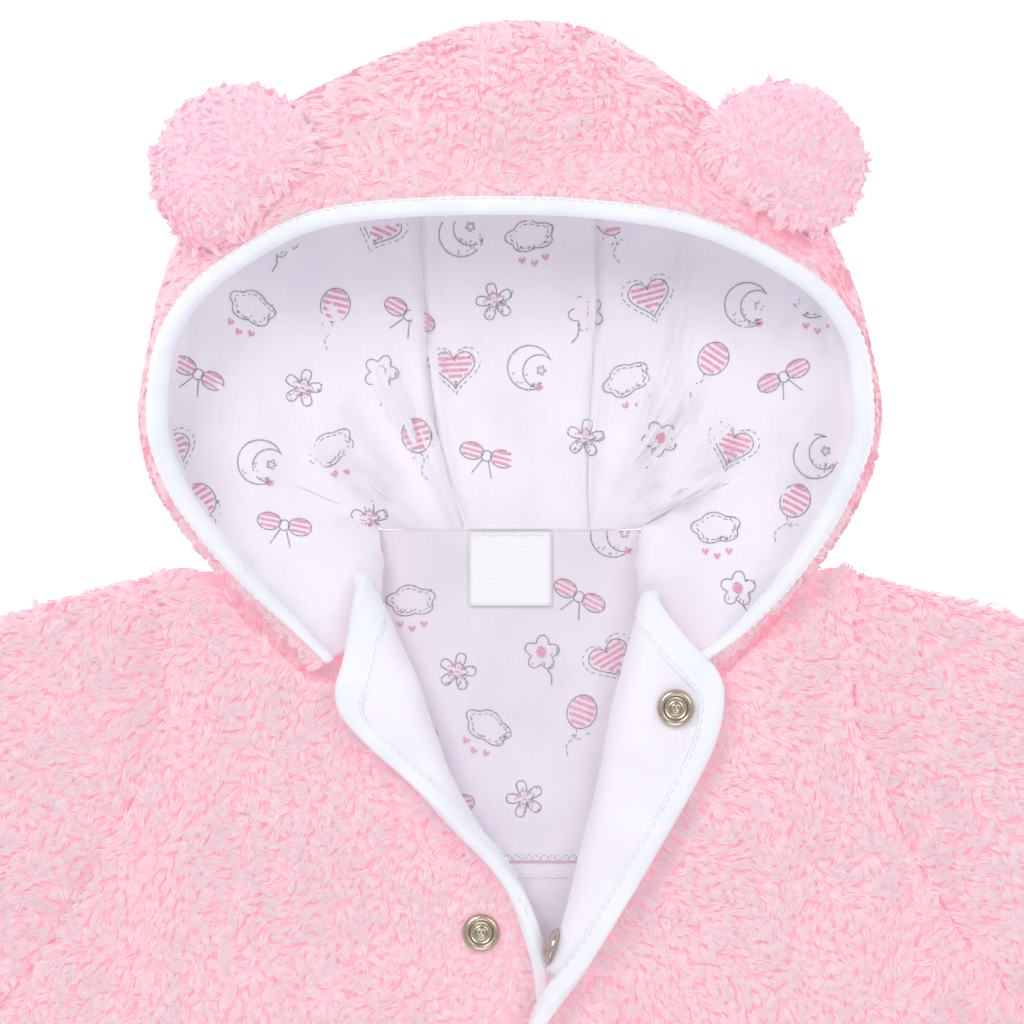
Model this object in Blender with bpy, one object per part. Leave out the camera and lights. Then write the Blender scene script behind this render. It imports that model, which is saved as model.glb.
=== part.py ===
"""A baby's hooded coat in long-pile plush with two stuffed ears, laid flat with its front open at the neck.

The tables hold millimetres. x runs across the coat from its centre back, to the right as it is seen from above.
y runs from the back neck seam towards the crown of the hood, and "down" is the other way, towards the hem.
z is the height above the table. The last step moves the coat, so that its origin is the middle of its underside.
"""

import math

import bpy
import numpy as np

MM = 0.001
GAP = 0.3  # between pieces that touch

# The cloth
PLUSH = 5.0  # backing and pile of a panel that faces up
PLUSH_BELOW = 3.8  # of one that the coat lies on
PLUSH_EDGE = 2.0  # at a seam or under a tape
UNDER_TAPE = 3.2  # how far from a taped edge the plush stays that thin
LINING = 1.0
FACING_GAP = 0.8  # between a front and its facing
TAPE = 0.8
TAPE_GAP = 0.8  # round what a tape is folded over, which bends under it
SLANT = 0.55  # the share of a distance down the flap that is square to its top edge
TAPE_SHOWS = 5.6  # how wide the front's tape lies on the facing
TAPE_BEHIND = 2.6  # and on the pile

# The body
HEM_DOWN = 342.0
ARMPIT_DOWN = 151.0
FRONT_UNDER = 7.8  # height of the fronts' lining side, over the back and its lining
SIDE_UNDER = 4.6  # the same at the side seam, where it meets the back
ROLL_RADIUS = 5.6  # a turned-back corner rolls round this
OVERLAP_LIFT = 6.2  # how much higher the upper front lies on the lower one
SQUEEZED = 3.0  # plush under the overlap

OUTER_EDGE = (  # armhole, then side seam: the body's half width
    ("down", "out"),
    (12.0, 104.4),
    (33.0, 103.0),
    (59.0, 104.0),
    (81.0, 113.0),
    (105.0, 125.0),
    (130.0, 141.0),
    (151.0, 157.0),
    (220.0, 160.0),
    (342.0, 165.0),
)

# A front's free edge: how far its cloth reaches past or short of the centre, how far it is turned back there,
# and how far the turned-back part runs on flat. "out" counts away from the centre, so it is negative past it.
UPPER_FRONT_EDGE = (
    ("down", "reach", "turn", "flap"),
    (19.0, 39.3, 180, 24.1),
    (34.0, 35.9, 180, 24.1),
    (47.4, 32.1, 180, 24.1),
    (59.4, 29.4, 180, 25.3),
    (70.5, 27.2, 180, 23.0),
    (83.4, 24.3, 180, 19.0),
    (97.5, 20.7, 180, 14.5),
    (110.7, 17.7, 180, 9.4),
    (124.8, 13.8, 180, 4.6),
    (131.7, 11.4, 165, 3.0),
    (138.0, 9.0, 138, 3.0),
    (148.5, 5.6, 85, 3.0),
    (160.0, 1.0, 40, 3.0),
    (175.0, -4.0, 12, 3.0),
    (190.0, -8.0, 2, 3.0),
    (240.0, -11.0, 2, 3.0),
    (342.0, -12.0, 2, 3.0),
)
LOWER_FRONT_EDGE = (
    ("down", "reach", "turn", "flap"),
    (13.8, 42.0, 180, 17.8),
    (31.5, 33.9, 180, 17.8),
    (47.4, 27.0, 180, 17.8),
    (55.5, 24.3, 180, 18.7),
    (62.0, 22.0, 180, 15.2),
    (69.6, 19.5, 180, 9.4),
    (76.5, 16.2, 170, 4.9),
    (84.6, 11.7, 150, 4.0),
    (92.0, 6.6, 130, 4.0),
    (99.6, 0.9, 110, 4.0),
    (107.0, -3.4, 90, 4.0),
    (114.6, -7.2, 70, 4.0),
    (123.0, -10.0, 50, 4.0),
    (131.7, -12.3, 32, 4.0),
    (150.0, -13.0, 10, 4.0),
    (170.0, -13.0, 2, 4.0),
    (342.0, -12.0, 2, 3.0),
)

# Where a front ends at the top, along its columns: the first stretch runs from the outer edge to the roll,
# the second round the roll and the third over the turned-back part.
NECK_FLAT = (
    ("share", "down"),
    (0.00, 12.4),
    (0.14, 11.6),
    (0.26, 17.2),
    (0.42, 31.4),
    (0.54, 39.0),
    (0.61, 45.0),
    (0.70, 46.6),
    (0.80, 46.6),
    (0.90, 43.0),
    (1.00, 38.0),
)
UPPER_NECK_ROLL = (("share", "down"), (0.0, 38.0), (0.25, 27.0), (0.5, 19.5), (0.75, 21.0), (1.0, 25.6))
UPPER_NECK_FLAP = (("share", "down"), (0.0, 25.6), (0.5, 36.0), (0.9, 44.8), (1.0, 48.4))
LOWER_NECK_ROLL = (("share", "down"), (0.0, 38.0), (0.25, 25.0), (0.5, 14.5), (0.75, 17.5), (1.0, 22.9))
LOWER_NECK_FLAP = (("share", "down"), (0.0, 22.9), (0.5, 35.0), (0.9, 46.2), (1.0, 49.6))

FLAT_SHARES = (0.0, 0.04, 0.1, 0.18, 0.26, 0.34, 0.42, 0.5, 0.56, 0.61, 0.7, 0.8, 0.9, 1.0)
ROLL_STEPS = 6
FLAP_STEPS = 3
ROW_SHARES = (0.0, 0.02, 0.08, 0.2, 0.34, 0.44, 0.51, 0.555, 0.59, 0.62, 0.65, 0.68, 0.705, 0.73, 0.755, 0.78, 0.805,
              0.832, 0.862, 0.891, 0.92, 0.95, 0.972, 0.989, 1.0)

# The hood, a row for each station round its opening, from one end of the opening to the other.
# neck: where it is sewn to the body; out: where it reaches furthest, seen from above; rim: its opening's edge.
HOOD = (
    ("neck_x", "neck_y", "neck_z", "out_x", "out_y", "out_z", "rim_x", "rim_y", "rim_z", "thick"),
    (-47.0, -36.0, 5.9, -60.5, -42.2, 5.9, -53.4, -40.2, 12.6, 0.35),
    (-46.0, -28.0, 5.9, -74.4, -27.9, 5.9, -66.0, -27.6, 17.0, 0.6),
    (-45.5, -20.0, 5.9, -88.5, -14.4, 5.9, -77.7, -15.9, 23.0, 0.85),
    (-45.0, -12.0, 5.9, -101.4, 2.1, 1.5, -89.4, -2.7, 29.0, 1.0),
    (-44.5, -4.5, 4.6, -109.2, 16.5, 0.0, -99.6, 13.0, 33.0, 1.0),
    (-41.0, 0.5, 0.0, -112.2, 35.1, 0.0, -105.0, 32.1, 37.0, 1.0),
    (-34.0, 0.6, 0.0, -108.6, 58.2, 0.0, -104.1, 49.2, 39.0, 1.0),
    (-28.0, 0.6, 0.0, -102.5, 82.0, 0.0, -95.1, 66.9, 41.0, 1.0),
    (-22.0, 0.6, 0.0, -87.0, 109.0, 0.0, -78.0, 80.1, 45.0, 1.0),
    (-16.0, 0.6, 0.0, -63.9, 129.6, 0.0, -55.8, 90.3, 50.0, 1.0),
    (-8.0, 0.6, 0.0, -21.9, 148.5, 0.0, -23.7, 93.6, 54.0, 1.0),
    (0.0, 0.6, 0.0, 1.5, 153.0, 0.0, 0.0, 93.9, 55.0, 1.0),
    (8.0, 0.6, 0.0, 27.0, 149.4, 0.0, 26.4, 92.7, 54.0, 1.0),
    (16.0, 0.6, 0.0, 58.8, 129.0, 0.0, 54.0, 88.5, 50.0, 1.0),
    (22.0, 0.6, 0.0, 84.6, 107.1, 0.0, 78.0, 78.6, 45.0, 1.0),
    (28.0, 0.6, 0.0, 100.5, 82.2, 0.0, 96.3, 65.1, 41.0, 1.0),
    (34.0, 0.6, 0.0, 108.6, 56.7, 0.0, 105.0, 46.2, 39.0, 1.0),
    (41.0, 0.5, 0.0, 112.2, 35.1, 0.0, 105.3, 29.7, 37.0, 1.0),
    (44.5, -4.5, 4.6, 110.1, 18.3, 0.0, 100.8, 15.3, 33.0, 1.0),
    (45.0, -12.0, 5.9, 102.3, 1.5, 1.5, 92.4, -1.2, 29.0, 1.0),
    (46.0, -20.0, 5.9, 90.6, -15.3, 5.9, 81.0, -17.4, 23.0, 0.85),
    (47.0, -28.0, 5.9, 76.5, -29.7, 5.9, 69.0, -30.3, 17.0, 0.6),
    (48.0, -36.0, 5.9, 63.5, -42.2, 5.9, 57.0, -39.4, 12.6, 0.35),
)
HOOD_STATIONS = 49  # columns worked out round the opening
HOOD_PANEL_SEAMS = (18, 30)  # the columns where its three panels meet
LINING_PANEL_SEAMS = (20, 28)
FLOOR_STEPS = 3
WALL_STEPS = 3
CROWN_STEPS = 4
HOOD_PLUSH = 4.5
LINING_GAP = 0.6  # from the hood's plush to its lining
HOOD_FOOT = 14.0  # how far in from its outline the hood leaves the table
WIDEST_AT = 0.42  # where it is widest, as a share of its height
RIM_TURN = math.radians(75)  # how far the crown has turned towards level at the rim
RIM_TAPE_LEG = 4.0

# Soft folds that rise from the hood's lining: the station and share of the way to the rim where each starts
# and ends, how far it reaches to each side, in stations, and its height.
LINING_FOLDS = (
    ("station", "to_station", "from_share", "to_share", "reach", "height"),
    (4.6, 7.4, 0.10, 0.62, 0.8, 3.0),
    (6.4, 9.6, 0.06, 0.55, 0.6, 2.6),
    (17.2, 14.6, 0.08, 0.62, 0.8, 3.6),
    (15.4, 13.4, 0.06, 0.5, 0.6, 2.6),
)

# The ears, discs cut straight where they are sewn on
EARS = (
    ("side", "x", "y", "z", "radius", "seam_angle"),
    (-1, -81.0, 106.2, 37.0, 26.4, 221.3),
    (1, 81.0, 108.6, 37.0, 25.2, -34.5),
)
EAR_TO_SEAM = 15.0
EAR_TILT = math.radians(24)
EAR_FRONT = 9.5  # how far the front puffs up from the ear's seam
EAR_BACK = 6.5
EAR_AROUND = 22
EAR_RINGS = 5

# A sleeve, along its top and bottom edges, from the armhole to the cuff
SLEEVE_TOP = (("x", "down"), (104.8, 12.4), (128.0, 18.2), (154.2, 26.4), (205.0, 51.0), (256.0, 81.0), (301.0, 110.0))
SLEEVE_BOTTOM = (("x", "down"), (157.4, 151.0), (180.0, 159.0), (203.0, 166.0), (224.0, 172.5), (243.0, 178.5),
                 (261.0, 184.0))
SLEEVE_ROWS = 9
SLEEVE_ACROSS = (0.0, 0.02, 0.07, 0.16, 0.3, 0.5, 0.7, 0.84, 0.93, 0.98, 1.0)
SLEEVE_HEIGHT = 12.6

# The neck lining, its seam and the label
LINING_HALF = 44.0
PRINT_DOWN = 101.0  # the seam between the printed lining and the plain one
PLAIN_DOWN = 146.0
LINING_UNDER = 4.1
LABEL = {"left": -12.3, "right": 12.6, "top": 0.9, "bottom": 23.4, "thick": 0.4}

# The press studs: a turned ring with a sunk middle and a post
STUD_PROFILE = (  # radius, height
    ("radius", "height"),
    (5.7, 0.0),
    (5.7, 0.9),
    (4.8, 1.9),
    (3.6, 1.7),
    (3.0, 0.7),
    (1.6, 0.7),
    (1.3, 1.6),
    (0.0, 1.9),
)
STUD_SIDES = 14
STUD_DIMPLE = 11.0  # how far the pile is pressed round a stud
UPPER_STUDS_OUT = 1.0
UPPER_STUDS_DOWN = {"stud_lower_1": 205.0, "stud_lower_2": 287.0}
LOWER_STUD = {"x": -8.7, "down": 121.8}
LAPEL_STUD = {"x": 49.7, "down": 53.7}
FOLD_STUD_DOWN = 125.4  # it sits half way round the roll


def clear_scene():
    for thing in list(bpy.data.objects):
        bpy.data.objects.remove(thing, do_unlink=True)


def cloth_material(name, colour, roughness, metallic=0.0):
    """A plain material: its colour, as shares of red, green and blue, and how it shines."""
    made = bpy.data.materials.new(name)
    made.use_nodes = True
    shader = made.node_tree.nodes["Principled BSDF"]
    shader.inputs["Base Color"].default_value = (*colour, 1.0)
    shader.inputs["Roughness"].default_value = roughness
    shader.inputs["Metallic"].default_value = metallic
    made.diffuse_color = (*colour, 1.0)
    return made


def columns(table):
    """A table's columns as arrays, by the names in its first row."""
    names, *rows = table
    return dict(zip(names, np.array(rows, float).T))


def through(knots, values, where):
    """The values at each place in where, on a smooth curve through the values at the knots. It stays between them."""
    knots = np.asarray(knots, float)
    values = np.asarray(values, float)
    where = np.clip(where, knots[0], knots[-1])
    rise = np.diff(values) / np.diff(knots)
    slopes = np.gradient(values, knots)
    least = np.minimum(np.abs(rise[1:]), np.abs(rise[:-1]))
    same_way = rise[1:] * rise[:-1] > 0
    slopes[1:-1] = np.where(same_way, np.sign(slopes[1:-1]) * np.minimum(np.abs(slopes[1:-1]), 3 * least), 0.0)
    i = np.clip(np.searchsorted(knots, where, side="right") - 1, 0, len(knots) - 2)
    step = knots[i + 1] - knots[i]
    t = (where - knots[i]) / step
    return (
        (2 * t**3 - 3 * t**2 + 1) * values[i]
        + (t**3 - 2 * t**2 + t) * step * slopes[i]
        + (3 * t**2 - 2 * t**3) * values[i + 1]
        + (t**3 - t**2) * step * slopes[i + 1]
    )


def ramp(value, start, end):
    """0 at start, 1 at end and a smooth S between them."""
    t = np.clip((value - start) / (end - start), 0, 1)
    return t * t * (3 - 2 * t)


def rounded(distance, reach):
    """0 on an edge, rising as a quarter round to 1 this far from it."""
    t = 1 - np.clip(distance / reach, 0, 1)
    return np.sqrt(1 - t * t)


def add_solid(name, points, faces, material, smooth=True):
    """An object from points in millimetres, with its faces turned outwards."""
    points = np.asarray(points, float) * MM
    corners = [(f[0], f[i], f[i + 1]) for f in faces for i in range(1, len(f) - 1)]
    a, b, c = (points[[corner[k] for corner in corners]] for k in range(3))
    if np.einsum("ij,ij->i", a, np.cross(b, c)).sum() < 0:
        faces = [f[::-1] for f in faces]
    mesh = bpy.data.meshes.new(name)
    mesh.from_pydata(points.tolist(), [], faces)
    mesh.materials.append(material)
    if smooth:
        mesh.shade_smooth()
        mesh.set_sharp_from_angle(angle=math.radians(50))
    made = bpy.data.objects.new(name, mesh)
    bpy.context.collection.objects.link(made)
    return made


def wall(name, one_side, other_side, material):
    """A solid between two grids of points of the same shape, closed round their edges."""
    rows, across = one_side.shape[:2]
    index = np.arange(rows * across).reshape(rows, across)
    other = index + rows * across
    faces = []
    for r in range(rows - 1):
        for c in range(across - 1):
            for corners in (((r, c), (r, c + 1), (r + 1, c + 1)), ((r, c), (r + 1, c + 1), (r + 1, c))):
                faces.append([int(index[s]) for s in corners])
                faces.append([int(other[s]) for s in corners[::-1]])
    rim = [(0, c) for c in range(across)] + [(r, across - 1) for r in range(1, rows)]
    rim += [(rows - 1, c) for c in range(across - 2, -1, -1)] + [(r, 0) for r in range(rows - 2, 0, -1)]
    for here, after in zip(rim, rim[1:] + rim[:1]):
        faces.append([int(index[after]), int(index[here]), int(other[here]), int(other[after])])
    points = np.concatenate([one_side.reshape(-1, 3), other_side.reshape(-1, 3)])
    return add_solid(name, points, faces, material)


def swept(name, sections, material):
    """A solid along a row of closed sections with the same number of points, capped at its ends."""
    count, around = sections.shape[:2]
    faces = [list(range(around))[::-1], [(count - 1) * around + k for k in range(around)]]
    for s in range(count - 1):
        for k in range(around):
            after = (k + 1) % around
            faces.append([s * around + k, s * around + after, (s + 1) * around + after, (s + 1) * around + k])
    return add_solid(name, sections.reshape(-1, 3), faces, material)


def turned(name, profile, sides, place, out, material):
    """A solid turned from a profile round the line out, which starts at place."""
    out = np.asarray(out, float) / np.linalg.norm(out)
    across = np.cross(out, [0.0, 1.0, 0.0] if abs(out[1]) < 0.9 else [1.0, 0.0, 0.0])
    across /= np.linalg.norm(across)
    up = np.cross(out, across)
    radius, height = profile["radius"], profile["height"]
    points = [np.asarray(place, float)]
    for r, h in zip(radius[:-1], height[:-1]):
        for k in range(sides):
            angle = 2 * math.pi * k / sides
            points.append(place + h * out + r * (math.cos(angle) * across + math.sin(angle) * up))
    points.append(place + height[-1] * out)
    rings = len(radius) - 1
    faces = []
    for k in range(sides):
        after = (k + 1) % sides
        faces.append([0, 1 + after, 1 + k])
        for ring in range(rings - 1):
            low, high = 1 + ring * sides, 1 + (ring + 1) * sides
            faces.append([low + k, low + after, high + after, high + k])
        faces.append([1 + (rings - 1) * sides + k, 1 + (rings - 1) * sides + after, len(points) - 1])
    return add_solid(name, points, faces, material)


# The body


def outer_edge(down):
    """The body's half width this far down."""
    edge = columns(OUTER_EDGE)
    return through(edge["down"], edge["out"], down)


class Front:
    """One front. Its cloth is laid out flat as (along, down), and rolled() says where that lies in space."""

    def __init__(self, side, edge, neck_roll, neck_flap, upper):
        self.side = side
        self.edge = columns(edge)
        self.neck = [columns(t) for t in (NECK_FLAT, neck_roll, neck_flap)]
        self.upper = upper

    def at(self, name, down):
        return through(self.edge["down"], self.edge[name], down)

    def roll(self, down):
        """Where the roll starts, how long it is, its angle and how far the flap runs on."""
        angle = np.radians(self.at("turn", down))
        length = np.maximum(ROLL_RADIUS * angle, 9.0)
        flap = np.maximum(self.at("flap", down), UNDER_TAPE + 0.8)
        past_level = angle > math.pi / 2
        radius = length / angle
        taken = np.where(
            past_level,
            radius + FACING_GAP + LINING,
            radius * np.sin(angle) + flap * np.cos(angle) + TAPE_GAP + TAPE,
        )
        return self.at("reach", down) + taken, length, angle, flap

    def free_edge(self, down):
        """Where the cloth ends, laid out flat."""
        start, length, _, flap = self.roll(down)
        return start - length - flap

    def slant(self, down):
        """How much longer a step along the cloth is than the same step square to its free edge."""
        return np.hypot(1.0, self.free_edge(down + 0.5) - self.free_edge(down - 0.5))

    def under(self, out, down):
        """The height of the cloth's lining side where it lies flat."""
        level = SIDE_UNDER + (FRONT_UNDER - SIDE_UNDER) * rounded(outer_edge(down) - out, 16.0)
        level = FRONT_UNDER + (level - FRONT_UNDER) * ramp(down, ARMPIT_DOWN - 12, ARMPIT_DOWN + 6)
        if self.upper:
            level = level + OVERLAP_LIFT * ramp(-out, -46.0, -20.0) * ramp(down, 84.0, 126.0)
        return level

    def thickness(self, along, down, top=None):
        """Of the plush: thinner at its edges and seams, under the overlap and round its studs."""
        from_free_edge = (along - self.free_edge(down)) / self.slant(down)
        if top is not None:
            turned_back = along < self.roll(down)[0]
            from_free_edge = np.minimum(from_free_edge, np.where(turned_back, SLANT * (down - top), PLUSH * 10))
        from_side = outer_edge(down) - along
        thick = PLUSH_EDGE + (PLUSH - PLUSH_EDGE) * rounded(from_free_edge - UNDER_TAPE - 2.0, 8.0)
        at_side = np.where(down > ARMPIT_DOWN - 6, 2.0, 3.4)
        thick = np.minimum(thick, at_side + (PLUSH - at_side) * rounded(from_side, 11.0))
        if self.upper:
            pressed = ramp(-along, -20.0, -9.0) * ramp(down, 150.0, 185.0)
        else:
            pressed = ramp(-along, -28.0, -13.0) * ramp(down, 128.0, 140.0)
            near = np.hypot(along - self.side * LOWER_STUD["x"], down - LOWER_STUD["down"])
            pressed = np.maximum(pressed, 1.2 * (1 - ramp(near, STUD_DIMPLE, 2 * STUD_DIMPLE)))
        thick = np.minimum(thick, PLUSH - (PLUSH - SQUEEZED) * pressed)
        return np.maximum(thick, PLUSH_EDGE)

    def rolled(self, along, down, off):
        """The place in space of a point of the flat cloth, off this far towards the pile."""
        start, length, angle, _ = self.roll(down)
        radius = length / angle
        turn = np.clip((start - along) / radius, 0, angle)
        past = np.maximum(start - along - length, 0)
        before = np.maximum(along - start, 0)
        x = start + before - radius * np.sin(turn) - past * np.cos(turn)
        z = radius * (1 - np.cos(turn)) + past * np.sin(turn)
        level = self.under(np.maximum(along, start), down)
        x = x + off * np.sin(turn)
        z = z + off * np.cos(turn) + level
        return np.stack([self.side * x, -down + 0 * x, z], axis=-1)

    def faces(self, along, down):
        """The direction in which the pile side of the cloth faces, at a point of it."""
        step = 0.5
        across = self.rolled(along + step, down, 0.0) - self.rolled(along - step, down, 0.0)
        towards = self.rolled(along, down + step, 0.0) - self.rolled(along, down - step, 0.0)
        normal = np.cross(across, towards)
        pile = self.rolled(along, down, 1.0) - self.rolled(along, down, 0.0)
        return normal * np.sign(normal @ pile)

    def grid(self):
        """The cloth laid out flat: where along and how far down each of its points is."""
        shares = [("flat", s) for s in FLAT_SHARES]
        shares += [("roll", (k + 1) / ROLL_STEPS) for k in range(ROLL_STEPS)]
        shares += [("flap", k) for k in range(FLAP_STEPS)]
        along, down = [], []
        for kind, share in shares:
            neck = self.neck[("flat", "roll", "flap").index(kind)]
            top = through(neck["share"], neck["down"], (0.5, 0.88, 1.0)[share] if kind == "flap" else share)
            here = HEM_DOWN + (top - HEM_DOWN) * np.array(ROW_SHARES)
            start, length, _, flap = self.roll(here)
            if kind == "flat":
                side = outer_edge(here) - GAP / 2
                along.append(side + (start - side) * share)
            elif kind == "roll":
                along.append(start - length * share)
            else:  # the last stretch of the flap is what the tape covers
                bare = flap - UNDER_TAPE
                along.append(start - length - (bare / 2, bare, flap)[share])
            down.append(here)
        return np.array(along).T, np.array(down).T

    def make_panel(self, name, material):
        along, down = self.grid()
        thick = self.thickness(along, down, down[-1])
        thick = PLUSH_EDGE + (thick - PLUSH_EDGE) * (0.35 + 0.65 * ramp(down - down[-1], 0.0, 8.0))
        lining_side = self.rolled(along, down, 0 * along)
        return wall(name, lining_side, self.rolled(along, down, thick), material)

    def make_facing(self, name, material):
        """The facing lies on the lining side of the roll and the flap, and a little way under the front."""
        along, down = self.grid()
        first = len(FLAT_SHARES) - 2
        last_row = next(r for r, d in enumerate(down[:, -1]) if d < 152.0)
        along = along[last_row:, first:].copy()
        down = down[last_row:, first:].copy()
        inside_tape = TAPE_SHOWS + 9 * GAP
        columns_left = np.arange(along.shape[1])[::-1]
        along = np.maximum(along, self.free_edge(down) + inside_tape * self.slant(down) + 0.15 * columns_left)
        rows_left = np.arange(down.shape[0])[::-1, None]
        lowest = down[-1] + inside_tape / SLANT * (columns_left < FLAP_STEPS) + 0.15 * rows_left
        down = np.maximum(down, lowest)
        inner = self.rolled(along, down, 0 * along - FACING_GAP)
        return wall(name, inner, self.rolled(along, down, 0 * along - FACING_GAP - LINING), material)

    def edge_line(self):
        """The free edge on the flat cloth, from the hem to the corner and on along the flap's top edge."""
        along, down = self.grid()
        corner = down.shape[0] - 1
        line = np.stack([along[:, -1], down[:, -1]], axis=1)
        top = np.stack([along[corner], down[corner]], axis=1)[::-1][1:FLAP_STEPS]
        return np.concatenate([line, top])

    def make_tape(self, name, material):
        """A tape folded round the free edge, worked out on the flat cloth and rolled with it."""
        line = self.edge_line()
        ahead = np.gradient(line, axis=0)
        ahead /= np.linalg.norm(ahead, axis=1)[:, None]
        inward = np.stack([-ahead[:, 1], ahead[:, 0]], axis=1)
        near_side = -TAPE_GAP
        far_side = PLUSH_EDGE + TAPE_GAP + 1.5 * GAP
        section = (
            (TAPE_SHOWS / 2, near_side),
            (TAPE_SHOWS, near_side),
            (TAPE_SHOWS, near_side - TAPE),
            (TAPE_SHOWS / 2, near_side - TAPE),
            (0.0, near_side - TAPE),
            (-TAPE_GAP - TAPE, near_side + 0.2),
            (-TAPE_GAP - TAPE, far_side - 0.2),
            (0.0, far_side + TAPE),
            (TAPE_BEHIND, far_side + TAPE),
            (TAPE_BEHIND, far_side),
            (0.2, far_side),
            (-TAPE_GAP, far_side - 0.4),
            (-TAPE_GAP, near_side + 0.4),
            (0.2, near_side),
        )
        rings = []
        for back, off in section:
            place = line + back * inward
            rings.append(self.rolled(place[:, 0], place[:, 1], off + 0 * line[:, 0]))
        return swept(name, np.array(rings).transpose(1, 0, 2), material)

def make_back(material):
    """The back panel: flat below, a little rounded at the side seams."""
    half = np.array([0.0, 0.2, 0.38, 0.47, 0.7, 0.94, 0.98, 1.0])
    across = np.concatenate([-half[:0:-1], half])
    top = np.where(np.abs(across) < 0.4, GAP, 12.9)
    rows = []
    for share in ROW_SHARES[:1] + ROW_SHARES[2:6:2] + ROW_SHARES[6:]:
        down = HEM_DOWN + (top - HEM_DOWN) * share
        half = outer_edge(down) - GAP / 2
        x = across * half
        rows.append(np.stack([x, -down, 0 * x], axis=1))
    below = np.array(rows)
    above = below.copy()
    down = -below[..., 1]
    from_side = outer_edge(down) - np.abs(below[..., 0])
    rounds = ramp(down, ARMPIT_DOWN - 6, ARMPIT_DOWN + 6)
    below[..., 2] = 1.8 * (1 - rounded(from_side, 9.0)) * rounds
    above[..., 2] = PLUSH_BELOW
    return wall("back", below, above, material)


def make_sleeve(name, side, material):
    """A flattened tube from the armhole to the open cuff."""
    top = columns(SLEEVE_TOP)
    bottom = columns(SLEEVE_BOTTOM)
    rows = np.linspace(0, 1, SLEEVE_ROWS)
    knots = np.linspace(0, 1, len(top["x"]))
    outer, inner = [], []
    edge = columns(OUTER_EDGE)
    across = np.array(SLEEVE_ACROSS)
    seam_down = 12.4 + (ARMPIT_DOWN - 12.4) * across
    seam = np.stack([through(edge["down"], edge["out"], seam_down) + GAP, seam_down], axis=1)
    for row in rows:
        a = np.array([through(knots, top["x"], row), through(knots, top["down"], row)])
        b = np.array([through(knots, bottom["x"], row), through(knots, bottom["down"], row)])
        straight = a + (b - a) * across[:, None]
        bent = straight + (seam - (seam[0] + (seam[-1] - seam[0]) * across[:, None])) * (1 - row) ** 2
        width = np.linalg.norm(b - a)
        from_edge = np.minimum(across, 1 - across) * width
        height = SLEEVE_HEIGHT - 2.2 * (1 - ramp(row, 0.0, 0.07))
        high = 4.6 + (height - 4.6) * rounded(from_edge, 12.0)
        low = 1.8 * (1 - rounded(from_edge, 7.0))
        mid = 4.0 + 0 * high
        inset = 3.2 / width
        within = bent[0] + 0 * bent
        shares = inset + (1 - 2 * inset) * across
        within = np.stack([np.interp(shares, across, bent[:, k]) for k in range(2)], axis=1)
        roof = np.maximum(high - PLUSH, mid + 0.3) - 0.0
        roof = mid + (np.minimum(roof, mid + 3.4) - mid) * rounded(np.minimum(across, 1 - across) * width, 9.0)
        roof[[0, -1]] = mid[[0, -1]] + 0.15
        ring_out = [(*p, z) for p, z in zip(bent, high)] + [(*p, z) for p, z in zip(bent[-2:0:-1], low[-2:0:-1])]
        ring_in = [(*p, z) for p, z in zip(within, roof)] + [(*p, z) for p, z in zip(within[-2:0:-1], mid[-2:0:-1])]
        outer.append([(side * x, -d, z) for x, d, z in ring_out])
        inner.append([(side * x, -d, z) for x, d, z in ring_in])
    outer, inner = np.array(outer), np.array(inner)
    count, around = outer.shape[:2]
    faces = []
    base = count * around
    for k in range(around):
        after = (k + 1) % around
        for s in range(count - 1):
            a, b, c, d = s * around + k, s * around + after, (s + 1) * around + after, (s + 1) * around + k
            faces.append([a, b, c, d])
            faces.append([base + d, base + c, base + b, base + a])
        end = (count - 1) * around
        faces.append([end + k, end + after, base + end + after, base + end + k])
        faces.append([after, k, base + k, base + after])
    return add_solid(name, np.concatenate([outer.reshape(-1, 3), inner.reshape(-1, 3)]), faces, material)


# The hood


def hood_profile(station):
    """The points of the hood's outer side at one station, from the neck seam over the table to the rim."""
    neck = np.array([station["neck_x"], station["neck_y"], station["neck_z"]])
    out = np.array([station["out_x"], station["out_y"], station["out_z"]])
    rim = np.array([station["rim_x"], station["rim_y"], station["rim_z"]])
    run = np.linalg.norm((out - neck)[:2])
    foot = out + (neck - out) * min(HOOD_FOOT, 0.5 * run) / run
    foot[2] = out[2]
    widest = out.copy()
    widest[2] += WIDEST_AT * (rim[2] - out[2])
    points = []
    for k in range(FLOOR_STEPS):
        share = k / FLOOR_STEPS
        place = neck + (foot - neck) * share
        place[2] = neck[2] + (out[2] - neck[2]) * ramp(share, 0.0, 0.9)
        points.append(place)
    for k in range(WALL_STEPS):
        turn = math.pi / 2 * k / WALL_STEPS
        place = foot + (out - foot) * math.sin(turn)
        place[2] = foot[2] + (widest[2] - foot[2]) * (1 - math.cos(turn))
        points.append(place)
    turn = np.linspace(0, RIM_TURN, 41)[:, None]
    crown = widest + (rim - widest) * (1 - np.cos(turn)) / (1 - math.cos(RIM_TURN))
    crown[:, 2:] = widest[2] + (rim[2] - widest[2]) * np.sin(turn) / math.sin(RIM_TURN)
    run = np.concatenate([[0.0], np.cumsum(np.linalg.norm(np.diff(crown, axis=0), axis=1))])
    taped = (RIM_TAPE_LEG + 0.8) * max(station["thick"], 0.5)
    stops = np.append(np.linspace(0, run[-1] - taped, CROWN_STEPS), run[-1])
    return np.concatenate([points, np.stack([np.interp(stops, run, crown[:, k]) for k in range(3)], axis=1)])


def inwards(grid):
    """The direction from each point of the hood's outer side towards its inside."""
    normal = np.cross(np.gradient(grid, axis=0), np.gradient(grid, axis=1))
    return normal / np.linalg.norm(normal, axis=2)[..., None]


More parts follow.
